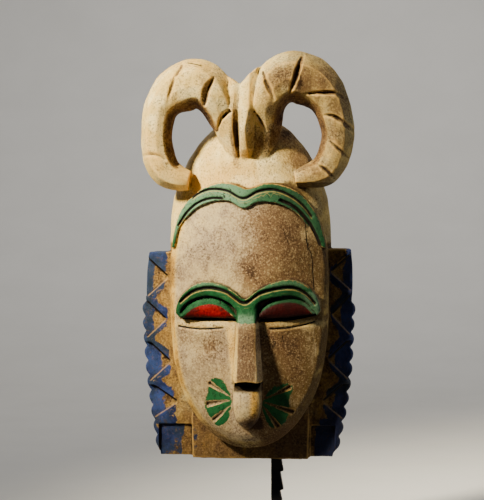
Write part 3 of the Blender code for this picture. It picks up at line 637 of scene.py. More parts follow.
def stem_rings():
    """Straight lines between the sections; the top falls from both sides to its dip."""
    levels = np.array([z for z, _ in STEM], dtype=float)
    corners = np.array([corner for _, corner in STEM], dtype=float)
    z = np.linspace(levels[0], levels[-1], 60)
    columns = [[np.interp(z, levels, places) for places in corner.T]
               for corner in np.moveaxis(corners, 1, 0)]
    columns.append([np.full_like(z, STEM_DIP_X), columns[0][1]])
    x, depth = np.array(columns).transpose(1, 2, 0)
    lift = np.clip((z - 312.0) / 16.0, 0.0, 1.0)[:, None]
    slope = np.maximum(LEFT_SLOPE * (STEM_DIP_X - x), RIGHT_SLOPE * (x - STEM_DIP_X))
    rings = together(x, depth, z[:, None] + lift * slope)
    dip = np.array([STEM_DIP_X, 46.0, levels[-1]])
    return np.concatenate([rings, dip + (rings[-1:] - dip) * 0.1])


shell("stem", stem_rings())
print("stem made")

# %% [markdown]
# Lines, notches and whiskers are V cuts: a wedge carried along a path on the surface. Chips are
# triangles pressed into the collar, deep at the outer edge and shallow at the point.

# %% Cuts in the surface


LIFT = 2.0


def wedge_rings(x, z, left_x, left_z, surface, lips, floor):
    """A V cut: each (move, rise) puts a corner `move` to the left of the path, `rise` above."""
    return np.stack([together(x + left_x * move, surface + rise, z + left_z * move)
                     for move, rise in (lips, floor, (-lips[0], lips[1]))], axis=1)


def groove_rings(path, front, width, depth, count=80):
    """A V along the path: LIFT above the surface at both lips, `depth` below it in the middle."""
    rows = spline(path, count)
    step_x, step_z = headings(rows).T
    spread = 0.5 * width * (depth + LIFT) / depth
    x, z = rows.T
    return wedge_rings(x, z, -step_z, step_x, front(x, z), (spread, LIFT), (0.0, -depth))


HAIR_LINES = (((-48, 229), (-41, 234), (-30, 237.5), (-16, 236), (-2, 229.5), (11, 235.5),
               (25, 237), (39, 231.5), (50, 222.5), (57, 213)),
              ((-60, 205), (-51, 218), (-41, 226), (-30, 229.5), (-19, 229.5)),
              ((29, 228.5), (42, 222), (53, 210.5), (60, 198), (64, 188)))
BROW_LINE = ((-57, 140), (-45, 149.5), (-31, 153), (-16, 150), (-0.5, 140.5), (13, 148.5),
             (27, 152.5), (41, 153.5), (52, 148.5), (60.5, 139))
LID_LINES = (((-60, 119), (-47, 117.2), (-34, 117), (-18, 118.5)),
             ((20, 117.6), (34, 118.3), (47, 120.2), (60, 123.6)))
HAIR_WIDTHS = (3.0, 3.0, 4.2)
for number, path in enumerate(HAIR_LINES):
    shell(f"hair_line_{number}", groove_rings(path, hair_front, HAIR_WIDTHS[number], 3.0), cutters)
shell("brow_line", groove_rings(BROW_LINE, brow_front, 3.0, 3.4, 200), cutters)
for number, path in enumerate(LID_LINES):
    shell(f"lid_line_{number}", groove_rings(path, face_depth, 2.4, 2.4), cutters)
print(len(cutters), "cutters so far")

# %% Whiskers and the nostril slot
WHISKERS = (((-32, 70.5), (-12.5, 58.5), 4.2), ((-34, 51.5), (-12, 56), 5.4),
            ((-28.5, 37.5), (-12, 52), 4.6), ((39, 67.5), (16.5, 57), 4.2),
            ((42, 45), (16, 54.5), 5.0), ((28.5, 32), (15.5, 51), 4.6))


def whisker_side(start, end):
    """The run of a whisker and the unit direction across it."""
    run = np.array(end) - np.array(start)
    return run, np.array([run[1], -run[0]]) / np.linalg.norm(run)


def whisker_rings(start, end, width):
    """A wedge that narrows from `width` to a point and rises from 3.4 to 1 deep."""
    run, across = whisker_side(start, end)
    s = np.linspace(0.0, 1.0, 12)
    x, z = (np.array(start) + run * s[:, None]).T
    half = width * 0.75 + (0.9 - width * 0.75) * s
    return wedge_rings(x, z, *-across, face_depth(x, z), (half, LIFT), (0.0, 2.4 * s - 3.4))


for number, whisker in enumerate(WHISKERS):
    shell(f"whisker_{number}", whisker_rings(*whisker), cutters)

SLOT = ((-8.6, 69.0, 71.0), (-7.4, 67.0, 72.6), (-4.0, 65.8, 73.6), (2.5, 65.3, 74.2),
        (9.0, 65.8, 73.6), (12.4, 67.0, 72.6), (13.6, 69.0, 71.0))
slot = [[[x, 72, low + 2.5], [x, 98, low], [x, 98, high], [x, 72, high + 0.6]] for x, low, high in SLOT]
shell("nostril_slot", slot, cutters)
print(len(cutters), "cutters so far")

# %% Chips in the collar
CHIPS = ((-1, -90, 160, 17, -71), (-1, -90.5, 122.5, 16, -73), (-1, -88, 85, 17, -69),
         (-1, -84, 49.5, 14, -63), (1, 89.5, 165, 15.5, 72), (1, 89.5, 127.5, 17.5, 73),
         (1, 87.5, 88, 17, 70), (1, 83.5, 51, 15.5, 65))
CHIP_RUN = 8.0
CHIP_DEPTH = 4.5
CHIP_BLOCKS = ((-50.0, -79.5), (55.0, 76.0))


def chip_outline(side, edge, z, half, point):
    """The triangle with its wide side carried out past the collar's edge."""
    out = edge + side * CHIP_RUN
    return ((out, z + half), (edge, z + half), (point, z), (edge, z - half), (out, z - half))


for number, chip in enumerate(CHIPS):
    x, z = np.array(chip_outline(*chip)).T
    deep = np.where(np.arange(5) == 2, COLLAR_FRONT - 1.0, COLLAR_FRONT - CHIP_DEPTH)
    shell(f"chip_{number}", [together(x, COLLAR_FRONT + 3, z), together(x, deep, z)], cutters)
for number, (inner, outer) in enumerate(CHIP_BLOCKS):
    rings = [[[x, COLLAR_FRONT - 3, -4], [x, COLLAR_FRONT - 3, 29], [x, COLLAR_FRONT + 9, 31],
              [x, COLLAR_FRONT + 9, -4]] for x in (inner, outer)]
    shell(f"chip_block_{number}", rings, cutters)

# %% Notches across the horns
NOTCHES = (
    (-1, ((-57, 347), (-65.5, 323.5), (-68.5, 309)), 4.0, 4.0, 2.6, 0.5),
    (-1, ((-28.5, 343.5), (-35, 337.5)), 2.6, 2.6, 1.6, 0.2),
    (-1, ((-26.5, 335), (-34, 323), (-37.5, 309)), 4.0, 10.0, 7.0, 0.4),
    (-1, ((-5, 308.5), (-11.6, 306.7), (-21.7, 298), (-27, 287)), 4.0, 4.5, 5.0, 0.3),
    (-1, ((-96, 265), (-82.2, 267.8), (-66, 262)), 3.6, 3.6, 2.8, -0.3),
    (1, ((12, 341), (18, 327), (24.5, 313)), 3.5, 6.0, 4.5, 0.2),
    (1, ((5, 306), (10.5, 298), (17, 285)), 2.4, 4.4, 3.6, 0.3),
    (1, ((50, 354), (45.9, 341.4), (42.1, 328.8), (38, 318)), 6.5, 5.0, 7.0, -0.5),
    (1, ((50, 318), (68.3, 319.4), (79.6, 318.1), (88, 313)), 4.0, 5.5, 5.0, 0.4),
    (1, ((66, 300.5), (76, 298.8), (86, 292.5), (97, 283)), 4.5, 4.5, 4.8, 0.4),
    (1, ((70, 279.5), (82.2, 269), (95, 258)), 4.0, 4.0, 3.6, 0.3),
    (1, ((60, 259), (69.5, 252.5), (77, 244)), 4.0, 4.0, 3.6, 0.3))


def across_horn(stations, side, x, z):
    """Share of the half width towards the loop, and the nearest row, its depth and thickness."""
    rows, along = horn_path(stations)
    nearest = np.argmin((x[:, None] - rows[:, 0]) ** 2 + (z[:, None] - rows[:, 2]) ** 2, axis=1)
    path_x, depth, path_z, half, thick = rows[nearest].T
    step_x, step_z = along[nearest].T
    return side * ((x - path_x) * step_z - (z - path_z) * step_x) / half, nearest, depth, thick


def horn_front(stations, side, x, z):
    """Depth of a horn's front at a place: the profile read at its offset from the path."""
    towards, _, depth, thick = across_horn(stations, side, x, z)
    crest = np.array(sorted(corner for corner in HORN_SECTION if corner[1] > -0.2))
    return depth + thick * np.interp(towards, crest[:, 0], crest[:, 1])


def notch_rings(side, path, width_start, width_end, sink, lean):
    """A V that runs out at both ends, its floor moved aside by half its width times lean."""
    rows = spline(path, 30)
    step_x, step_z = headings(rows).T
    x, z = rows.T
    surface = horn_front(dict(HORNS)[side], side, x, z)
    width = np.linspace(width_start, width_end, len(x))
    taper = np.sqrt(np.sin(np.linspace(0.03, 0.97, len(x)) * math.pi))
    floor = sink * taper - 0.6 * (1 - taper)
    spread = 0.5 * width * (floor + 3.0) / sink
    return wedge_rings(x, z, -step_z, step_x, surface, (-spread, 3.0), (0.5 * lean * width, -floor))


for number, notch in enumerate(NOTCHES):
    shell(f"notch_{number}", notch_rings(*notch), cutters)
print(len(cutters), "cutters in all")

# %% [markdown]
# Now the shells become one block. The Boolean modifier joins and cuts them in the carver's
# order. A voxel remesh then gives the whole surface one even skin, with the slightly rounded
# edges that a knife and years of wear leave.

# %% One block from the shells
VOXEL = 0.00078


def apply_modifiers(thing):
    """Replace the object's mesh with what its modifiers make of it."""
    graph = bpy.context.evaluated_depsgraph_get()
    made = bpy.data.meshes.new_from_object(thing.evaluated_get(graph))
    old = thing.data
    thing.modifiers.clear()
    thing.data = made
    bpy.data.meshes.remove(old)


def combine(target, tools, operation):
    """Join the tools to the target, or cut them from it, and remove the tools."""
    for tool in tools:
        modifier = target.modifiers.new(tool.name, "BOOLEAN")
        modifier.operation = operation
        modifier.solver = "MANIFOLD"
        modifier.object = tool
    apply_modifiers(target)
    for tool in tools:
        mesh = tool.data
        bpy.data.objects.remove(tool)
        bpy.data.meshes.remove(mesh)


mask = shells[0]
combine(mask, shells[1:], "UNION")
combine(mask, eye_cuts, "DIFFERENCE")
combine(mask, lids + features, "UNION")
combine(mask, cutters, "DIFFERENCE")
mask.name = "mask_carving"
print("joined and cut:", len(mask.data.polygons), "faces")
skin = mask.modifiers.new("skin", "REMESH")
skin.mode = "VOXEL"
skin.voxel_size = VOXEL
apply_modifiers(mask)
print("remeshed:", len(mask.data.polygons), "faces")

# %% [markdown]
# The knife left its marks. Each point of the skin is moved a little along its normal: shallow
# scoops on the horns and the head, hardly any on the polished face. Averaging a point with its
# neighbours first takes the steps of the voxels away. The same averaging tells how hollow or how
# sharp the surface is at each point, which the dirt, the painted shade in hollows and cuts, the
# wear and the painted highlights on edges need later. Decimation then takes triangles out where
# the surface is nearly flat, so that the file stays light.

# %% Arrays of the skin


def read_rows(items, field, width, kind=float):
    """One field of a mesh's points or edges as rows of numbers."""
    values = np.empty(len(items) * width, dtype=kind)
    items.foreach_get(field, values)
    return values.reshape(-1, width)


def skin_arrays(mesh):
    """Places, normals and edges of a mesh as arrays."""
    return (read_rows(mesh.vertices, "co", 3), read_rows(mesh.vertex_normals, "vector", 3),
            read_rows(mesh.edges, "vertices", 2, np.int64))


def move_skin(mesh, places):
    """Put the points in new places and read the arrays again."""
    mesh.vertices.foreach_set("co", places.ravel())
    mesh.update()
    return skin_arrays(mesh)


def averaged(values, edges, rounds, share=0.6):
    """Each round moves a value by a share of the way to the mean of its neighbours."""
    count = len(values)
    ends, others = np.concatenate([edges, edges[:, ::-1]]).T.copy()
    degree = np.bincount(ends, minlength=count)
    flat = values.reshape(count, -1).copy()
    for _ in range(rounds):
        for column in flat.T:
            total = np.bincount(ends, weights=column[others], minlength=count)
            column += share * (total / degree - column)
    return flat.reshape(values.shape)


def hollowness(rounds, share=0.6):
    """How far the mean of the neighbours lies outside the surface, in mm: above 0 in a hollow."""
    return np.einsum("ij,ij->i", averaged(places, edges, rounds, share) - places, normals) * 1000


def lattice_value(i, j, k, seed):
    """A fixed random number from 0 to 1 for each point of a cube lattice.

    The three whole numbers are multiplied by large primes and mixed to pick a row of a table.
    """
    table = np.random.default_rng(seed).random(4096)
    return table[(i * 73856093 ^ j * 19349663 ^ k * 83492791) & 4095]


def clouds(points, cell, seed):
    """Random lattice values blended between the eight corners by f^2 (3 - 2 f), from 0 to 1."""
    scaled = points / cell
    whole = np.floor(scaled).astype(np.int64)
    f = scaled - whole
    f = f * f * (3 - 2 * f)
    total = np.zeros(len(points))
    for corner in range(8):
        step = np.array([corner & 1, corner >> 1 & 1, corner >> 2 & 1])
        weight = np.prod(np.where(step, f, 1 - f), axis=1)
        total += weight * lattice_value(*(whole + step).T, seed)
    return total


def scoops(points, cell, seed):
    """Squared distance, in cells, to the nearest of the lattice's shifted middles."""
    scaled = points / cell
    whole = np.floor(scaled).astype(np.int64)
    nearest = np.full(len(points), 9.0)
    for corner in range(27):
        step = np.array([corner % 3, corner // 3 % 3, corner // 9]) - 1
        home = whole + step
        shift = np.stack([lattice_value(*home.T, seed + axis) for axis in range(3)], axis=1)
        nearest = np.minimum(nearest, np.sum((home + 0.15 + 0.7 * shift - scaled) ** 2, axis=1))
    return nearest


def smooth_step(value, low, high):
    """From 0 below low to 1 above high, by f^2 (3 - 2 f)."""
    f = np.clip((value - low) / (high - low), 0.0, 1.0)
    return f * f * (3 - 2 * f)


def window(value, low_out, low_in, high_in, high_out):
    """1 between the inner two numbers, falling to 0 at the outer two."""
    return smooth_step(value, low_out, low_in) * smooth_step(value, high_out, high_in)


places, normals, edges = skin_arrays(mask.data)
places, normals, edges = move_skin(mask.data, averaged(places, edges, 2))
print(len(places), "points and", len(edges), "edges")

# %% Knife marks
SCOOP, WAVE, FIBRE, CHIPPING = 0.013, 0.016, 0.0024, 0.006
MARK_ROOM = 0.0006
x, depth, z = to_shares(places)
on_face = smooth_step(face_depth(x, z) - depth, 6.0, 2.0) * smooth_step(z, 8.0, 20.0)
on_face *= smooth_step(np.hypot((x - FACE_X) / 70.0, (z - 126.0) / 116.0), 1.02, 0.96)
on_horn = smooth_step(z, 238.0, 262.0)
mark = 0.10 + 0.75 * on_horn + 0.25 * (1 - on_face)
knife = scoops(places * (1.0, 1.0, 0.7), SCOOP, 5) * mark
knife += (clouds(places * (1.0, 1.0, 0.45), WAVE, 11) - 0.5) * 0.7 * (1 - 0.8 * on_face)
knife += (clouds(places * (1.0, 1.0, 0.2), FIBRE, 23) - 0.5) * 0.18 * (1 - 0.5 * on_face)
inside = (depth < 14.0) & (np.abs(x) < 62.0) | (normals[:, 1] > 0.3)
knife[inside] *= 0.2
chipped = smooth_step(-hollowness(6), 0.28, 0.6) * smooth_step(clouds(places, CHIPPING, 31), 0.52, 0.75)
places += normals * (0.001 * (knife - 0.25 - 0.8 * chipped * (1 - 0.6 * on_face)))[:, None]
places = np.clip(places, mask_low - MARK_ROOM, mask_high + (MARK_ROOM, 0.0, MARK_ROOM))
places, normals, edges = move_skin(mask.data, places)
print(f"knife marks from {knife.min():.2f} to {knife.max():.2f} mm")

# %% Hollows, edges and a lighter mesh
WANTED_TRIANGLES = 190000


def keep_attribute(thing, name, values):
    """Store one number per point under a name that the material can read."""
    layer = thing.data.attributes.new(name, "FLOAT", "POINT")
    layer.data.foreach_set("value", np.asarray(values, dtype=np.float32))


fine, broad = hollowness(5), hollowness(60, 0.9)
keep_attribute(mask, "fine_hollow", averaged(fine, edges, 1))
keep_attribute(mask, "broad_hollow", averaged(broad, edges, 4))
lighter = mask.modifiers.new("lighter", "DECIMATE")
lighter.ratio = WANTED_TRIANGLES / (2 * len(mask.data.polygons))
apply_modifiers(mask)
shade_smooth(mask.data)
print(f"{len(mask.data.polygons)} faces; nine tenths of the hollows are under "
      f"{np.percentile(fine, 90):.2f} mm fine and {np.percentile(broad, 90):.2f} mm broad")

# %% [markdown]
# Paint follows the carving, so each colour is kept as a distance: how far inside the painted
# shape a point lies, in millimetres. The material turns the distance into paint with a frayed
# edge. Distances stay smooth from point to point, so the edge is as fine as the noise that
# frays it, and no image is needed.

# %% Painted shapes
FAR = 8.0
TINY = 1e-9


def close_by(x, z, corners):
    """Which points lie in the corners' box widened by FAR, and where they are."""
    low, high = corners.min(axis=0) - FAR, corners.max(axis=0) + FAR
    near = np.flatnonzero((x > low[0]) & (x < high[0]) & (z > low[1]) & (z < high[1]))
    return near, x[near], z[near]


def to_piece(px, pz, dx, dz):
    """Distance to a straight piece that starts at 0, and the share t of it at the foot.

    The foot of the perpendicular is t = (p . d) / |d|^2, held between 0 and 1.
    """
    t = np.clip((px * dx + pz * dz) / (dx * dx + dz * dz + TINY), 0.0, 1.0)
    return np.hypot(px - t * dx, pz - t * dz), t


def signed_distance(x, z, corners):
    """Distance to the nearest side, positive within.

    A point is within when a level line to its right crosses the sides an odd number of times.
    """
    corners = np.asarray(corners, dtype=float)
    near, px, pz = close_by(x, z, corners)
    best = np.full(len(px), FAR)
    within = np.zeros(len(px), dtype=bool)
    for (ax, az), (bx, bz) in zip(corners, np.roll(corners, -1, axis=0)):
        dx, dz = bx - ax, bz - az
        best = np.minimum(best, to_piece(px - ax, pz - az, dx, dz)[0])
        within ^= ((az > pz) != (bz > pz)) & (px < ax + (pz - az) * dx / (dz if dz else TINY))
    result = np.full(len(x), -FAR)
    result[near] = np.where(within, best, -best)
    return result


RED = (((-54, 126), (-52.4, 128.9), (-44, 135.6), (-33.5, 138.9), (-25.3, 138.6), (-18.9, 136.1),
        (-9.7, 128.9), (-8.5, 124)),
       ((10, 124), (11.1, 128.9), (16.3, 134.1), (26.8, 139.2), (39.3, 140.8), (49.7, 138.2),
        (57, 132), (59, 127)))
BROW_PAINT_FOOT = ((65, 133), (61, 127.5), (11, 124), (8, 123.5), (1.5, 122.5), (-6, 123.5), (-9, 124),
                   (-57, 124.5), (-62, 125))
WHISKER_PAINT = (
    ((-30.4, 73.3), (-26.1, 75.1), (-20.1, 73.3), (-16.7, 69), (-12.4, 59.6), (-11.5, 51), (-13.2, 45),
     (-14.1, 39.9), (-18.4, 34.7), (-23.6, 32.2), (-27.9, 35.6), (-33, 43.3), (-35.6, 48.5),
     (-35.6, 54.5), (-32.2, 57.9), (-33, 62.2), (-32.2, 69)),
    ((17, 60), (23.8, 67.3), (29.8, 69.9), (35.9, 70.8), (40.2, 69), (41, 63.9), (38.4, 59.6),
     (37.6, 53.6), (38.4, 46.7), (36.7, 41.6), (34.1, 36.4), (29.8, 33), (23.8, 31.3),
     (19.5, 34.7), (16.1, 42.5), (14.3, 51)))
places, normals, edges = skin_arrays(mask.data)
x, depth, z = to_shares(places)
forward = -normals[:, 1]
faces_out = smooth_step(forward, -0.1, 0.15)


def tell_share(name, chosen):
    """Print how many of the points are chosen."""
    print(f"{name}: {np.mean(chosen) * 100:.1f}% of the points")


def highest(*layers):
    """The highest of several numbers at each point."""
    return np.maximum.reduce(layers)


def inside_any(shapes):
    """Distance inside the nearest of the shapes, negative outside them all."""
    return highest(*(signed_distance(x, z, shape) for shape in shapes))


def not_below(front, room):
    """2 where the point lies on that surface, falling to -FAR where it is deeper than the room."""
    return np.clip(2.0 - 3.0 * np.maximum(0.0, front - depth - room), -FAR, 2.0)


hair = signed_distance(x, z, between(HAIR_OUTER, HAIR_INNER, 60))
hair = np.minimum(hair + 0.5, not_below(hair_front(x, z), 1.1))
brow = signed_distance(x, z, np.vstack([spline(BROW_UPPER, 60), BROW_PAINT_FOOT]))
red = inside_any([spline(edge, 60) for edge in RED])
on_lid = not_below(lid_front(x, z), 2.5)
brow = np.minimum(np.minimum(brow + 0.4, 1.0 - red), on_lid)
red = np.minimum(red, on_lid)
whisker = inside_any([spline(edge, 80, closed=True) for edge in WHISKER_PAINT])
halves = [whisker_side(start, end)[1] * width * 0.5 for start, end, width in WHISKERS]
wedges = [(start - half, start + half, end) for half, (start, end, _) in zip(halves, WHISKERS)]
whisker = np.minimum(whisker, -inside_any(wedges) - 0.1)
whisker = np.where(depth > face_depth(x, z) + 2.5, -FAR, whisker)
green = np.where(forward < -0.3, -FAR, highest(hair, brow, whisker))
# Paler green: faded paint on the hair band, paler towards the left where the light falls, so partly
# painted light; faded paint on the brows' upper band and above the nose; a painted sheen at the brows'
# right end.
faded_and_sheen = smooth_step(z, 190, 205) * (0.15 + 0.75 * smooth_step(x, 22, -20))
faded_and_sheen += 0.45 * smooth_step(z, 151, 156) * (z < 180)
faded_and_sheen += 0.8 * smooth_step(x, 46, 54) * (z < 150) * (z > 124) * (x < 66)
faded_and_sheen += 0.8 * smooth_step(np.abs(x - FACE_X), 8, 6) * smooth_step(z, 132, 128) * (z > 120)
tell_share("painted green", green > 0)
tell_share("painted red", red > 0)

# %% [markdown]
# The cut lines are dark with painted shade, and the cracks are dark. Along each chip's upper
# edge lies a painted shadow, and along its lower edge, below the brow line and below the first
# hair line a painted highlight. A line is finer than the mesh, so its darkness isn't kept as such.
# What is kept is how far a point lies to the left or right of the line, as a number with a sign,
# which runs through zero exactly on the line. The material squares it.

# %% Dark lines and cracks


def beside(x, z, path):
    """Distance to a path, positive on its left, and 1 along the path falling to 0 over its ends.

    The sign is that of the cross product of the nearest piece with the way from its start.
    """
    best = np.full(len(x), FAR)
    run = np.zeros(len(x))
    lengths = np.linalg.norm(np.diff(path, axis=0), axis=1)
    starts = np.concatenate([[0.0], np.cumsum(lengths)])
    near, px, pz = close_by(x, z, path)
    for (ax, az), (bx, bz), length, start in zip(path, path[1:], lengths, starts):
        dx, dz = bx - ax, bz - az
        away, t = to_piece(px - ax, pz - az, dx, dz)
        closer = away < np.abs(best[near])
        side = np.where(dx * (pz - az) - dz * (px - ax) >= 0, 1.0, -1.0)
        best[near[closer]] = (side * away)[closer]
        run[near[closer]] = start + (t * length)[closer]
    reach = smooth_step(run, 0.0, 2.0) * smooth_step(starts[-1] - run, 0.0, 2.0)
    return best, reach * smooth_step(np.abs(best), 3.0, 2.2)


CRACKS = (((50.7, 210), (52.8, 190), (56.5, 180), (57.5, 165), (58.6, 150)),
          ((-12.6, 240.5), (-12.9, 236.5), (-12.2, 235.6)),
          ((-18.8, 235.2), (-18.6, 231.5), (-18.9, 228)),
          ((20, 108.4), (27, 106.6), (33, 110.5), (39, 111.6)),
          ((-53, 346.8), (-46, 345.4), (-38, 343.5)),
          ((-21.5, 137.5), (-21.2, 140.5), (-21.6, 143)))
# Dark lines: painted shade in the cut grooves of the hair, brow and lids, and the cracks.
SHADE_AND_CRACK_LINES = [(path, 1.0) for path in HAIR_LINES[:2]] + [(HAIR_LINES[2], 1.5), (BROW_LINE, 1.15)]
SHADE_AND_CRACK_LINES += [(path, 0.65) for path in LID_LINES] + [(path, 0.42) for path in CRACKS]
# Pale lines: painted highlights on the lit lip below the brow line and below the first hair line.
PAINTED_HIGHLIGHT_LINES = [([(px, pz - 1.9) for px, pz in path], 0.42) for path in (BROW_LINE, HAIR_LINES[0])]
# Each chip gets a painted shadow along its upper edge and a painted highlight along its lower edge.
for _, edge, height, half, point in CHIPS:
    SHADE_AND_CRACK_LINES.append((((edge, height + half + 0.3), (point, height + 0.3)), 0.9))
    PAINTED_HIGHLIGHT_LINES.append((((edge, height - half - 0.7), (point, height - 0.7)), 0.6))


def nearest_line(lines):
    """Signed distance to the nearest line, in half widths of that line, and where it holds."""
    value = np.full(len(x), FAR)
    holds = np.zeros(len(x))
    for path, half_width in lines:
        away, reach = beside(x, z, spline(path, 60))
        closer = np.abs(away) / half_width < np.abs(value)
        value = np.where(closer, away / half_width, value)
        holds = np.where(closer, reach, holds)
    on_flap = (depth > 26) & (np.abs(x) > 60) & (z < 190)
    return value, holds * (forward > -0.2) * ((depth > 44) | on_flap)


line, shade_and_crack_run = nearest_line(SHADE_AND_CRACK_LINES)
pale, highlight_run = nearest_line(PAINTED_HIGHLIGHT_LINES)
tell_share(f"near one of the {len(SHADE_AND_CRACK_LINES)} dark lines", shade_and_crack_run > 0)

# %% [markdown]
# On the collar the blue has kept to the outer edge and to the cuts. In a chip it reaches 10 to 14
# millimetres in from the edge, and between two chips it follows their sides. The ground shows in
# the rest. Two rows of numbers, heights and reaches, say how far it goes in each chip.

# %% The blue collar
CHIP_PAINT = (49, 85, 122, 160), (12.0, 14.0, 9.5, 10.5)
on_collar = (np.abs(x) > 58) & (depth < 38) & (z < 190) & (depth > 8)
on_collar |= (np.abs(x) > 42) & (depth < 40) & (z < 34) & (depth > 8)
chip_shapes = [chip_outline(*chip) for chip in CHIPS]
chip_shapes += [((inner, -4), (inner, 30), (outer, 30), (outer, -4)) for inner, outer in CHIP_BLOCKS]
in_shape = inside_any(chip_shapes)
edge_x = np.where(x < 0, -edge_at(spline(COLLAR_LEFT, 80), z), edge_at(spline(COLLAR_RIGHT, 80), z))
inset = edge_x - np.abs(x)
in_chip = np.interp(z, *CHIP_PAINT) - inset
along_chip = np.minimum(7.2 + in_shape, 0.8 * (20.5 - inset))
near_edge = 9.5 + 2.0 * (180.0 - z) / 140.0 - inset
blue = np.where(in_shape > 0.0, 0.7 * in_chip, np.maximum(along_chip, 0.6 * near_edge))
blue = np.maximum(blue, np.where((x < 0) & (z > 168), np.minimum(z - 167, -70 - x), -FAR))
blue = np.where((z > 172) & (x > 0), np.minimum(blue, x - 84), blue)
flecks = np.where(x > -49.5, np.minimum(2.0, -43.5 - x), -1.0)
blue = np.where((z < 30) & (x < 0), np.where(x < -57.5, 3.0, flecks), blue)
blue = np.where((z < 30) & (x > 58), 2.0, blue)
blue = np.where(on_collar & (forward > -0.6), np.clip(blue, -FAR, FAR), -FAR)
tell_share("painted blue", blue > 0)

# %% [markdown]
# Under the colours the mask is cream, greyer on the face where hands have polished it, golden
# where the paint is gone, and brown where smoke and dirt settled. Painted light is kept here too:
# gold as a painted highlight on the lit left edges, brown as painted shade on the right of the face,
# under the right horn's loop, inside the loops, in the notches, under the chin and on the neck, and
# near black as painted shade in the eye slits and the nostril slot. These broad changes are also
# kept point by point. Each stain is a soft oval: its middle, its two half widths and its strength.

# %% Stains, polish and the slits
# The ovals on the right of the forehead and cheek are partly painted shade where the light falls off,
# and those under the right horn's loop are painted shade.
STAINS = ((20, 182, 26, 34, 0.75), (2, 166, 9, 8, 0.4), (6, 158, 10, 14, 0.5), (-24, 199, 6, 8, 0.2),
          (36, 200, 16, 20, 0.4), (12, 212, 26, 10, 0.5), (47, 152, 12, 16, 0.5),
          (40, 92, 14, 26, 0.65), (19, 108, 8, 26, 0.7), (34, 106, 12, 5, 0.5), (3, 100, 9, 30, 0.45), (-36, 98, 10, 16, 0.35),
          (-50, 112, 8, 12, 0.3), (-28, 104, 6, 9, 0.35), (7, 35, 10, 7, 1.6), (13, 44, 5, 14, 0.5),
          (-10.2, 285, 3.2, 22, 1.7), (33, 286, 12, 9, 1.2), (-82.9, 129.7, 1.6, 1.6, 2.4),
          (-74.2, 88.1, 1.7, 1.4, 2.4), (-72.8, 52.4, 1.6, 1.8, 2.4),
          (30, 333, 13, 11, 0.9), (62, 330, 20, 15, 0.8), (80, 310, 10, 14, 0.6), (46, 330, 5, 14, 0.8),
          (78, 282, 9, 16, 0.5), (20, 312, 8, 18, 0.6), (-34, 333, 14, 8, 0.4), (-62, 300, 5, 16, 0.6),
          (46, 264, 13, 12, 1.0), (62, 252, 7, 6, 0.6), (36, 24, 26, 14, 0.8), (14, 278, 12, 10, 0.7),
          (-78, 20, 10, 10, 0.5), (-10, 4, 30, 8, 0.6), (80, 176, 14, 10, 0.9), (-62, 60, 8, 20, 0.3))


def ovals(table):
    """The sum of strength times exp(-(dx/a)^2 - (dz/b)^2) over the table."""
    return sum(strength * np.exp(-((x - middle_x) / half_x) ** 2 - ((z - middle_z) / half_z) ** 2)
               for middle_x, middle_z, half_x, half_z, strength in table)


# Near black in the eye slits and the nostril slot: painted shade.
in_eye = inside_any([between(upper, lower, 40) for upper, lower in EYES])
slit_shade = smooth_step(in_eye, -0.8, 0.3) * smooth_step(lid_front(x, z) - depth, 2.2, 4.5)
slit_shade *= faces_out * (depth > 50)
in_slot = smooth_step(np.abs(x - 2.5), 12.5, 10.5) * smooth_step(np.abs(z - 70.0), 6.0, 4.0)
slit_shade = np.maximum(slit_shade, in_slot * smooth_step(depth, 90.0, 87.0) * (depth > 66))
inward = signed_distance(x, z, face_outline(120))
on_plate = (depth > 36) & (z < 243)
grey = smooth_step(inward, 4.5, 8.0) * on_plate * 0.9
stains_and_shade = ovals(STAINS) * faces_out
tell_share("stained_and_shaded", stains_and_shade > 0.3)

# %% Gold where the paint is gone, and painted highlights on the lit left side
bevel = window(inward, -3.0, 0.0, 3.5, 6.5) * on_plate * smooth_step(z, 20, 60)
# The bevel is less golden on the right: its gold is wear, and on the left also a painted highlight.
bevel *= 1.0 - 0.6 * smooth_step(x, 20, 60)
# The left flank of the nose is golden as a painted highlight, and is kept free of grey and smoke.
nose_flank_highlight = smooth_step(x, -5.0, -6.5) * smooth_step(x + (z - 70) * 0.11, -12.5, -10.0) * (depth > 60)
nose_flank_highlight *= window(z, 68, 76, 117, 122)
mouth_side = window(x, 3, 8, 11, 14) * (depth > 74) * (z > 42) * (z < 66)
neck = 0.85 * (z < 40) * (depth < 44) * (np.abs(x) < 60)
golden = highest(bevel, 0.8 * on_collar * (np.abs(x) > 60), neck, 0.35 * nose_flank_highlight, mouth_side)
grey *= (1.0 - nose_flank_highlight) * (1.0 - 0.95 * np.clip(golden, 0.0, 1.0))
# Painted shade under the chin, on its lower bevel.
chin = smooth_step(inward, 9.0, 3.0) * smooth_step(z, 42, 26) * on_plate
# The ledge under the lids is kept paler: a painted highlight on its lit top.
lit_lid_ledge = window(z, 117, 119, 124, 126) * (np.abs(x - FACE_X) > 9) * on_plate
grey *= 1.0 - 0.8 * lit_lid_ledge
tell_share("golden", golden > 0.3)

# %% Bare wood behind, painted shade inside the horns' loops
half, reach = head_size(z)
away = np.abs(x)
inner = (forward < -0.25) & ((z < 200) | (z < 298) & (away < half - 1) & (depth < reach - 4))
inner |= (forward < 0.05) & (z < 288) & (depth < np.minimum(46, reach - 4)) & (away < half - 6)
bare = averaged(inner.astype(float), edges, 3)
loop = np.zeros(len(x))
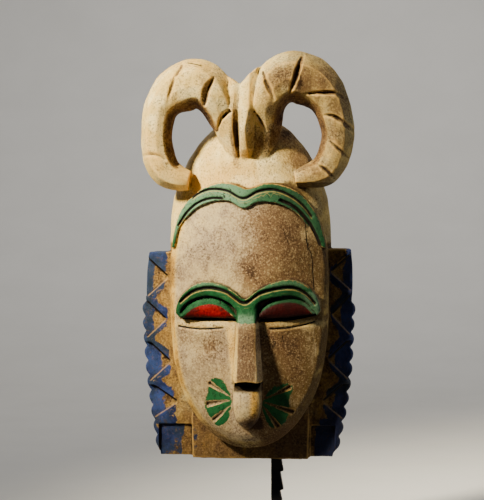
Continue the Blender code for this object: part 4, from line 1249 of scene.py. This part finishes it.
# On the inner walls of the loops lies an orange-brown painted shade, made of gold and brown.
high = np.flatnonzero((z > 246) & ((depth > reach + 3) | (away > half + 3)))
for side, stations in HORNS:
    on_side = high[(side * x[high] > -6)]
    towards, nearest, middle_depth, _ = across_horn(stations, side, x[on_side], z[on_side])
    inner_wall = window(towards, 0.5, 0.8, 1.3, 1.6) * (nearest > 30) * (nearest < 186)
    sunk = horn_front(stations, side, x[on_side], z[on_side]) - depth[on_side]
    # The notches in the horns are darkened as painted shade.
    notched = smooth_step(sunk, 0.8, 2.6) * (np.abs(towards) < 0.9) * (depth[on_side] > middle_depth)
    loop[on_side] = np.maximum(loop[on_side], inner_wall)
    stains_and_shade[on_side] = np.maximum(stains_and_shade[on_side], 0.9 * notched)
golden = np.maximum(golden, loop)
# Brown also carries painted shade under the chin, inside the loops and on the neck panel; the collar's
# brown is its own colour.
neck = (depth < 44) * (away < 58) * (z < 50) * (inward < 0)
stains_and_shade = highest(stains_and_shade, 0.7 * chin, 1.1 * loop, 0.6 * on_collar, 0.75 * neck)
tell_share("bare wood", bare > 0.5)

# %% [markdown]
# The ground is darkened brown before the last colours go on: towards the right of the face and
# the horns, on the lower cheeks and on the forehead. This is smoke-brown and also painted shade,
# where the light from the upper left falls off. A layer of painted shade then lies over the
# colours too: low under the face, on the collar's right flap in the shadow of the face, on the
# right eye in the shadow of the nose and brow, along the lids' lower edges, over the green and the
# face towards the right, and a little on the nose ridge.

# %% Smoke and painted shade
ridge = smooth_step(np.abs(x - 2.6), 8.5, 7.0) * (depth > 74) * window(z, 68, 76, 118, 124)
# Darker towards the right and on the lower cheeks: smoke-brown and painted shade where the light falls
# off.
smoke_and_shade = on_plate * (smooth_step(x, 0, 32) + 0.55 * smooth_step(z, 118, 70) * smooth_step(away, 8, 16))
smoke_and_shade += on_plate * 0.45 * smooth_step(z, 205, 160) * (z > 100)
# The same darkening on the right of the horns and the head.
smoke_and_shade = np.maximum(smoke_and_shade, 0.8 * smooth_step(x, 12, 55) * (z > 190))
smoke_and_shade *= (1.0 - 0.7 * lit_lid_ledge) * (1.0 - 0.8 * nose_flank_highlight)
# Painted shade behind the face: low under the chin, a little over both flaps, and more on the right
# flap, in the face's shadow.
on_right_flap = 0.35 * (x > 57) * (z < 190)
behind_face = np.maximum(0.55 * smooth_step(z, 66, 26), 0.35 * (z < 190)) + on_right_flap
# Painted shade on the red: most on the right lid, in the shadow of the nose and brow, and along the
# lids' lower edges.
on_red = 0.1 + 0.65 * (x > 0) + 0.5 * smooth_step(z, 131, 127.5)
# Painted shade over the green towards the right.
on_green = 0.04 + 0.46 * smooth_step(x, -5, 50)
right_shade = (0.3 + 0.16 * smooth_step(z, 140, 165)) * smooth_step(x, 8, 40) * on_plate
# All of this layer is painted shade, with a little extra darkening on the nose ridge.
painted_shade = highest(behind_face * (depth < 46), on_red * (red > -0.6),
               on_green * (green > -0.3) * (z > 118), 0.3 * ridge, right_shade) * faces_out
kept = dict(green=green, red=red, blue=blue, faded_and_sheen=faded_and_sheen, grey=grey, stains_and_shade=stains_and_shade, golden=golden,
            bare=bare, slit_shade=slit_shade, ridge=ridge, line=line, shade_and_crack_run=shade_and_crack_run, pale=pale,
            highlight_run=highlight_run, smoke_and_shade=smoke_and_shade, painted_shade=painted_shade)
for name, values in kept.items():
    keep_attribute(mask, name, values)
print("kept on the points:", ", ".join(kept))

# %% [markdown]
# Shader maths reads best as plain sums. One small class wraps an output socket, so that an
# expression such as 1 - mask builds its Math nodes, and one method adds every other node.

# %% Material tools


class Wire:
    """An output socket; sums and products on it add Math nodes."""

    def __init__(self, paint, socket):
        self.paint = paint
        self.socket = socket

    def __add__(self, other):
        return self.paint.maths("ADD", self, other)

    def __sub__(self, other):
        return self.paint.maths("SUBTRACT", self, other)

    def __rsub__(self, other):
        return self.paint.maths("SUBTRACT", other, self)

    def __mul__(self, other):
        return self.paint.maths("MULTIPLY", self, other)

    __radd__, __rmul__ = __add__, __mul__


def shade(parts):
    """A colour given as it looks on screen, from 0 to 255, as linear light; a wire stays one."""
    if isinstance(parts, Wire):
        return parts
    parts = np.array(parts) / 255.0
    linear = np.where(parts <= 0.04045, parts / 12.92, ((parts + 0.055) / 1.055) ** 2.4)
    return (*linear, 1.0)


class Paint:
    """A material under construction; `colour` is what has been laid on so far."""

    def __init__(self, name, **constants):
        self.material = bpy.data.materials.new(name)
        self.material.use_nodes = True
        self.tree = self.material.node_tree
        self.shader = self.tree.nodes["Principled BSDF"]
        for socket, value in constants.items():
            self.shader.inputs[socket.replace("_", " ")].default_value = value

    def node(self, kind, settings, sockets, output=0):
        """Add a node: settings first, then a value or a link for each socket."""
        made = self.tree.nodes.new(kind)
        for name, value in settings.items():
            setattr(made, name, value)
        for name, value in sockets.items():
            if isinstance(value, Wire):
                self.tree.links.new(value.socket, made.inputs[name])
            else:
                made.inputs[name].default_value = value
        return Wire(self, made.outputs[output])

    def maths(self, operation, first, second):
        """One Math node."""
        return self.node("ShaderNodeMath", {"operation": operation}, {0: first, 1: second})

    def number(self, name):
        """A number kept on the points of the mesh."""
        return self.node("ShaderNodeAttribute", {"attribute_name": name}, {}, 2)

    def places(self, stretch=(1.0, 1.0, 1.0)):
        """Object coordinates, stretched."""
        seen = self.node("ShaderNodeTexCoord", {}, {}, 3)
        return self.node("ShaderNodeMapping", {}, {"Vector": seen, "Scale": stretch})

    def noise(self, places, scale, detail=3.0, roughness=0.55, distortion=0.0):
        """Cloud noise from 0 to 1."""
        return self.node("ShaderNodeTexNoise", {}, {"Vector": places, "Scale": scale, "Detail": detail,
                                                    "Roughness": roughness, "Distortion": distortion})

    def step(self, value, low, high):
        """0 at low, 1 at high, smooth between."""
        return self.node("ShaderNodeMapRange", {"interpolation_type": "SMOOTHSTEP"},
                         {"Value": value, "From Min": low, "From Max": high})

    def mix(self, below, above, share):
        """One colour over another."""
        sockets = {0: share, 6: shade(below), 7: shade(above)}
        return self.node("ShaderNodeMix", {"data_type": "RGBA"}, sockets, 2)

    def coat(self, above, share):
        """Lay one more colour over what is there."""
        self.colour = self.mix(self.colour, above, share)

    def use(self, name, wire):
        """Feed one socket of the shader."""
        self.tree.links.new(wire.socket, self.shader.inputs[name])

    def raised(self, height, distance):
        """Bump from a height."""
        self.use("Normal", self.node("ShaderNodeBump", {}, {"Height": height, "Distance": distance}))


print("material tools ready")

# %% [markdown]
# The finish is built in the order it came about, with the painted light and shade laid in among
# the layers. Six noises drive it, from wood fibres to broad clouds. The ground comes first: cream,
# gold where it is worn and as painted highlight, grey where it is polished, then smoke-brown with
# painted shade, stains with painted shade, and specks. A ridge that stands proud of its neighbours
# has lost its paint, and is lightened as a painted highlight.

# %% The ground
wood = Paint("painted wood", Specular_IOR_Level=0.13)
even_places = wood.places()
grain = wood.noise(wood.places((1.0, 1.0, 0.14)), 900.0, 4.0, 0.6)
speck = wood.noise(even_places, 620.0, 3.0, 0.7)
patch = wood.noise(wood.places((1.0, 1.0, 0.7)), 170.0, 4.0, 0.65)
blotch = wood.noise(even_places, 48.0, 4.0, 0.6)
cloud = wood.noise(even_places, 17.0, 3.0, 0.5, 0.6)
fray = wood.noise(even_places, 330.0, 3.0, 0.65)
mottle = blotch + 0.5 * patch
fine_hollow, broad_hollow = wood.number("fine_hollow"), wood.number("broad_hollow")
golden, grey = wood.number("golden"), wood.number("grey")

wood.colour = wood.mix((222, 190, 112), (242, 220, 154), wood.step(blotch, 0.42, 0.62))
wood.coat((206, 162, 80), wood.step(cloud, 0.46, 0.66) * 0.6)
# Gold: wear, painted highlights on the lit left side, and the warm part of the painted shade in the
# loops.
wood.coat((218, 166, 66), golden * wood.step(blotch, 0.28, 0.50))
wood.coat((112, 74, 34), golden * wood.step(mottle, 0.70, 0.90) * 0.75)
wood.coat((184, 164, 128), grey * (0.70 + 0.30 * wood.step(cloud, 0.4, 0.6)))
wood.coat((120, 100, 96), grey * wood.step(mottle, 0.64, 0.88) * 0.6)
wood.coat((100, 68, 44), wood.number("ridge") * 0.85)
wood.coat((234, 214, 168), wood.step(grain, 0.50, 0.68) * (0.22 - 0.16 * golden))
# Smoke-brown and painted shade, darkest where the light falls off.
wood.coat((100, 77, 40), wood.number("smoke_and_shade") * wood.step(blotch + 0.6 * patch, 0.35, 0.95) * 0.92)
# Stains, and painted shade under the chin, in the loops and notches and on the neck.
stain = wood.number("stains_and_shade") * (0.45 + 0.6 * blotch + 0.5 * patch)
wood.coat((116, 84, 50), wood.step(stain, 0.05, 0.9) * 0.72)
wood.coat((104, 76, 50), wood.step(speck + 0.20 * stain + 0.40 * patch, 0.68, 0.90) * 0.55)
wood.coat((226, 200, 150), wood.step(speck - 0.10 * patch, 0.42, 0.30) * (0.14 + 0.16 * grey))
wood.coat((56, 38, 26), wood.step(speck + 0.6 * blotch + 0.12 * stain, 0.90, 1.06) * 0.7)
wood.coat((50, 30, 16), wood.step(stain + 0.8 * fray, 1.35, 1.75) * 0.9)
# Convex edges: paint worn to gold there, and lightened as a painted highlight.
edge_wear_and_highlight = wood.step(0.0 - fine_hollow, 0.03, 0.18)
wood.coat((232, 186, 104), edge_wear_and_highlight * 0.6)
print("ground:", len(wood.tree.nodes), "nodes")

# %% Green, red and blue
painted_shade = wood.number("painted_shade")
loss = (fray - 0.5) * 2.2 + wood.step(blotch, 0.56, 0.72) * 0.4 + edge_wear_and_highlight * 0.6
green_paint = wood.mix((10, 62, 30), (30, 92, 50), wood.step(blotch + 0.4 * patch, 0.5, 0.9))
# Pale green where the paint has faded, and a painted sheen at the brows' right end.
faded_and_sheen_share = wood.number("faded_and_sheen") * wood.step(cloud + fray, 0.62, 1.15)
green_paint = wood.mix(green_paint, (112, 148, 116), faded_and_sheen_share)
green_paint = wood.mix(green_paint, (10, 44, 24), wood.step(fray, 0.52, 0.66) * 0.6)
wood.coat(green_paint, wood.step(wood.number("green") - loss, -0.05, 0.45))
red_paint = wood.mix((70, 1, 1), (150, 3, 2), wood.step(blotch + 0.5 * fray, 0.6, 0.9))
# The red darkens under the painted shade, most on the right lid, in the shadow of the nose and brow.
red_paint = wood.mix(red_paint, (36, 1, 0), painted_shade * 1.2)
red_share = wood.step(wood.number("red") - loss * 0.7, -0.05, 0.40)
wood.coat(red_paint, red_share)
blue_paint = wood.mix((26, 40, 88), (56, 80, 146), wood.step(blotch + 0.4 * fray, 0.55, 0.85))
blue_paint = wood.mix(blue_paint, (42, 58, 62), wood.step(cloud + 0.5 * patch, 0.66, 0.90) * 0.7)
blue_paint = wood.mix(blue_paint, (104, 78, 46), wood.step(fray + 0.6 * speck, 0.86, 1.0) * 0.45)
blue_loss = loss * 1.3 + wood.step(cloud + 0.5 * blotch, 0.66, 0.90) * 2.4
wood.coat(blue_paint, wood.step(wood.number("blue") - blue_loss, -0.1, 0.8))
print("with the paints:", len(wood.tree.nodes), "nodes")

# %% [markdown]
# Last come dirt and painted shade in the hollows and the cuts, the dark cracks, the painted
# highlights on the lips beside the cuts, the painted shade over the colours, the bare wood behind
# and the painted shade in the eye slits and the mouth. A kept line is squared here, so that its two
# sides look the same.

# %% Dirt, painted shade and highlights, and bare wood
# Brown in the broad hollows: dirt, and painted shade where the hollows lie out of the light.
hollow_dirt_and_shade = wood.step(broad_hollow + (blotch - 0.5) * 0.8, 0.5, 2.6) * (0.75 - 0.65 * red_share)
wood.coat((92, 60, 28), hollow_dirt_and_shade)
# Near black in fine creases and cut floors: dirt, and painted shade in the cuts.
wood.coat((30, 18, 9), wood.step(fine_hollow + (fray - 0.5) * 0.2, 0.05, 0.26) * 0.9)
line, pale = wood.number("line"), wood.number("pale")
# Painted shade in the grooves and along the chips' upper edges, and the dark cracks.
shade_and_crack_dark = wood.step(line * line + (fray - 0.5) * 0.6, 1.4, 0.5) * wood.number("shade_and_crack_run")
wood.coat((14, 9, 5), shade_and_crack_dark)
# Painted highlights on the lit lips of the cuts.
painted_highlight_edge = wood.step(pale * pale + (fray - 0.5) * 4.0, 1.4, 0.2) * wood.number("highlight_run")
wood.coat((200, 156, 86), painted_highlight_edge * 0.45)
# The painted shade over the colours.
wood.coat((20, 14, 8), painted_shade * (0.5 + 0.7 * blotch) * (1.0 - 0.7 * red_share))
wood_brown = wood.mix((74, 50, 30), (122, 88, 54), wood.step(grain + 0.5 * cloud, 0.6, 0.95))
wood.coat(wood_brown, wood.number("bare"))
# Painted shade in the eye slits and the nostril slot.
wood.coat((24, 13, 7), wood.number("slit_shade") * 0.92)
wood.use("Base Color", wood.colour)
wood.use("Roughness", 0.66 - 0.16 * grey + 0.14 * wood.step(fray, 0.45, 0.65))
wood.raised(grain * 0.9 + speck * 1.1 + fray * 0.5, 0.0005)
mask.data.materials.clear()
mask.data.materials.append(wood.material)
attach(mask, "root")
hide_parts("mask")
print("painted wood:", len(wood.tree.nodes), "nodes")

# %% [markdown]
# The rod is forged iron, black with a little rust in its pores. The foot is wood under black
# paint that has rubbed thin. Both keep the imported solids, and only their finish is made here.

# %% Iron and black paint
iron = Paint("blackened iron", Metallic=0.7)
pores = iron.noise(iron.places(), 420.0, 4.0, 0.6)
drift = iron.noise(iron.places((1.0, 1.0, 0.4)), 60.0)
iron.colour = iron.mix((20, 20, 22), (44, 42, 42), iron.step(drift, 0.4, 0.65))
iron.coat((78, 44, 26), iron.step(pores + 0.5 * drift, 0.84, 1.0) * 0.7)
iron.use("Base Color", iron.colour)
iron.use("Roughness", 0.38 + 0.4 * pores)
iron.raised(pores, 0.0004)

black = Paint("black painted foot")
rubbed = black.noise(black.places(), 36.0, 5.0, 0.62)
dust = black.noise(black.places(), 260.0, 3.0, 0.6)
black.colour = black.mix((18, 18, 19), (38, 36, 34), black.step(rubbed, 0.42, 0.68))
black.coat((92, 80, 64), black.step(dust + 0.4 * rubbed, 0.82, 0.98) * 0.4)
black.use("Base Color", black.colour)
black.use("Roughness", 0.36 + 0.4 * rubbed)
black.raised(dust * 0.6 + rubbed, 0.0003)
for node, finish in (("stand_rod", iron), ("stand_foot", black)):
    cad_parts[node].material_slots[0].material = finish.material

backdrop = Paint("pale studio paper", Roughness=0.85)
fibre = backdrop.noise(backdrop.places(), 9.0, 4.0)
backdrop.use("Base Color", backdrop.mix((214, 212, 207), (226, 224, 220), fibre))
floor.data.materials.append(backdrop.material)
print("materials on the rod, the foot and the paper")

# %% [markdown]
# The two boxes, packed and dressed, are kept side by side, so that nobody has to trust
# that they agree.

# %% Sizes and the end
seen_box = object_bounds()
for word, corners in (("packed", cad_box), ("dressed", seen_box)):
    print(word, [round((top - bottom) * 1000, 1) for bottom, top in zip(*corners)], "mm")
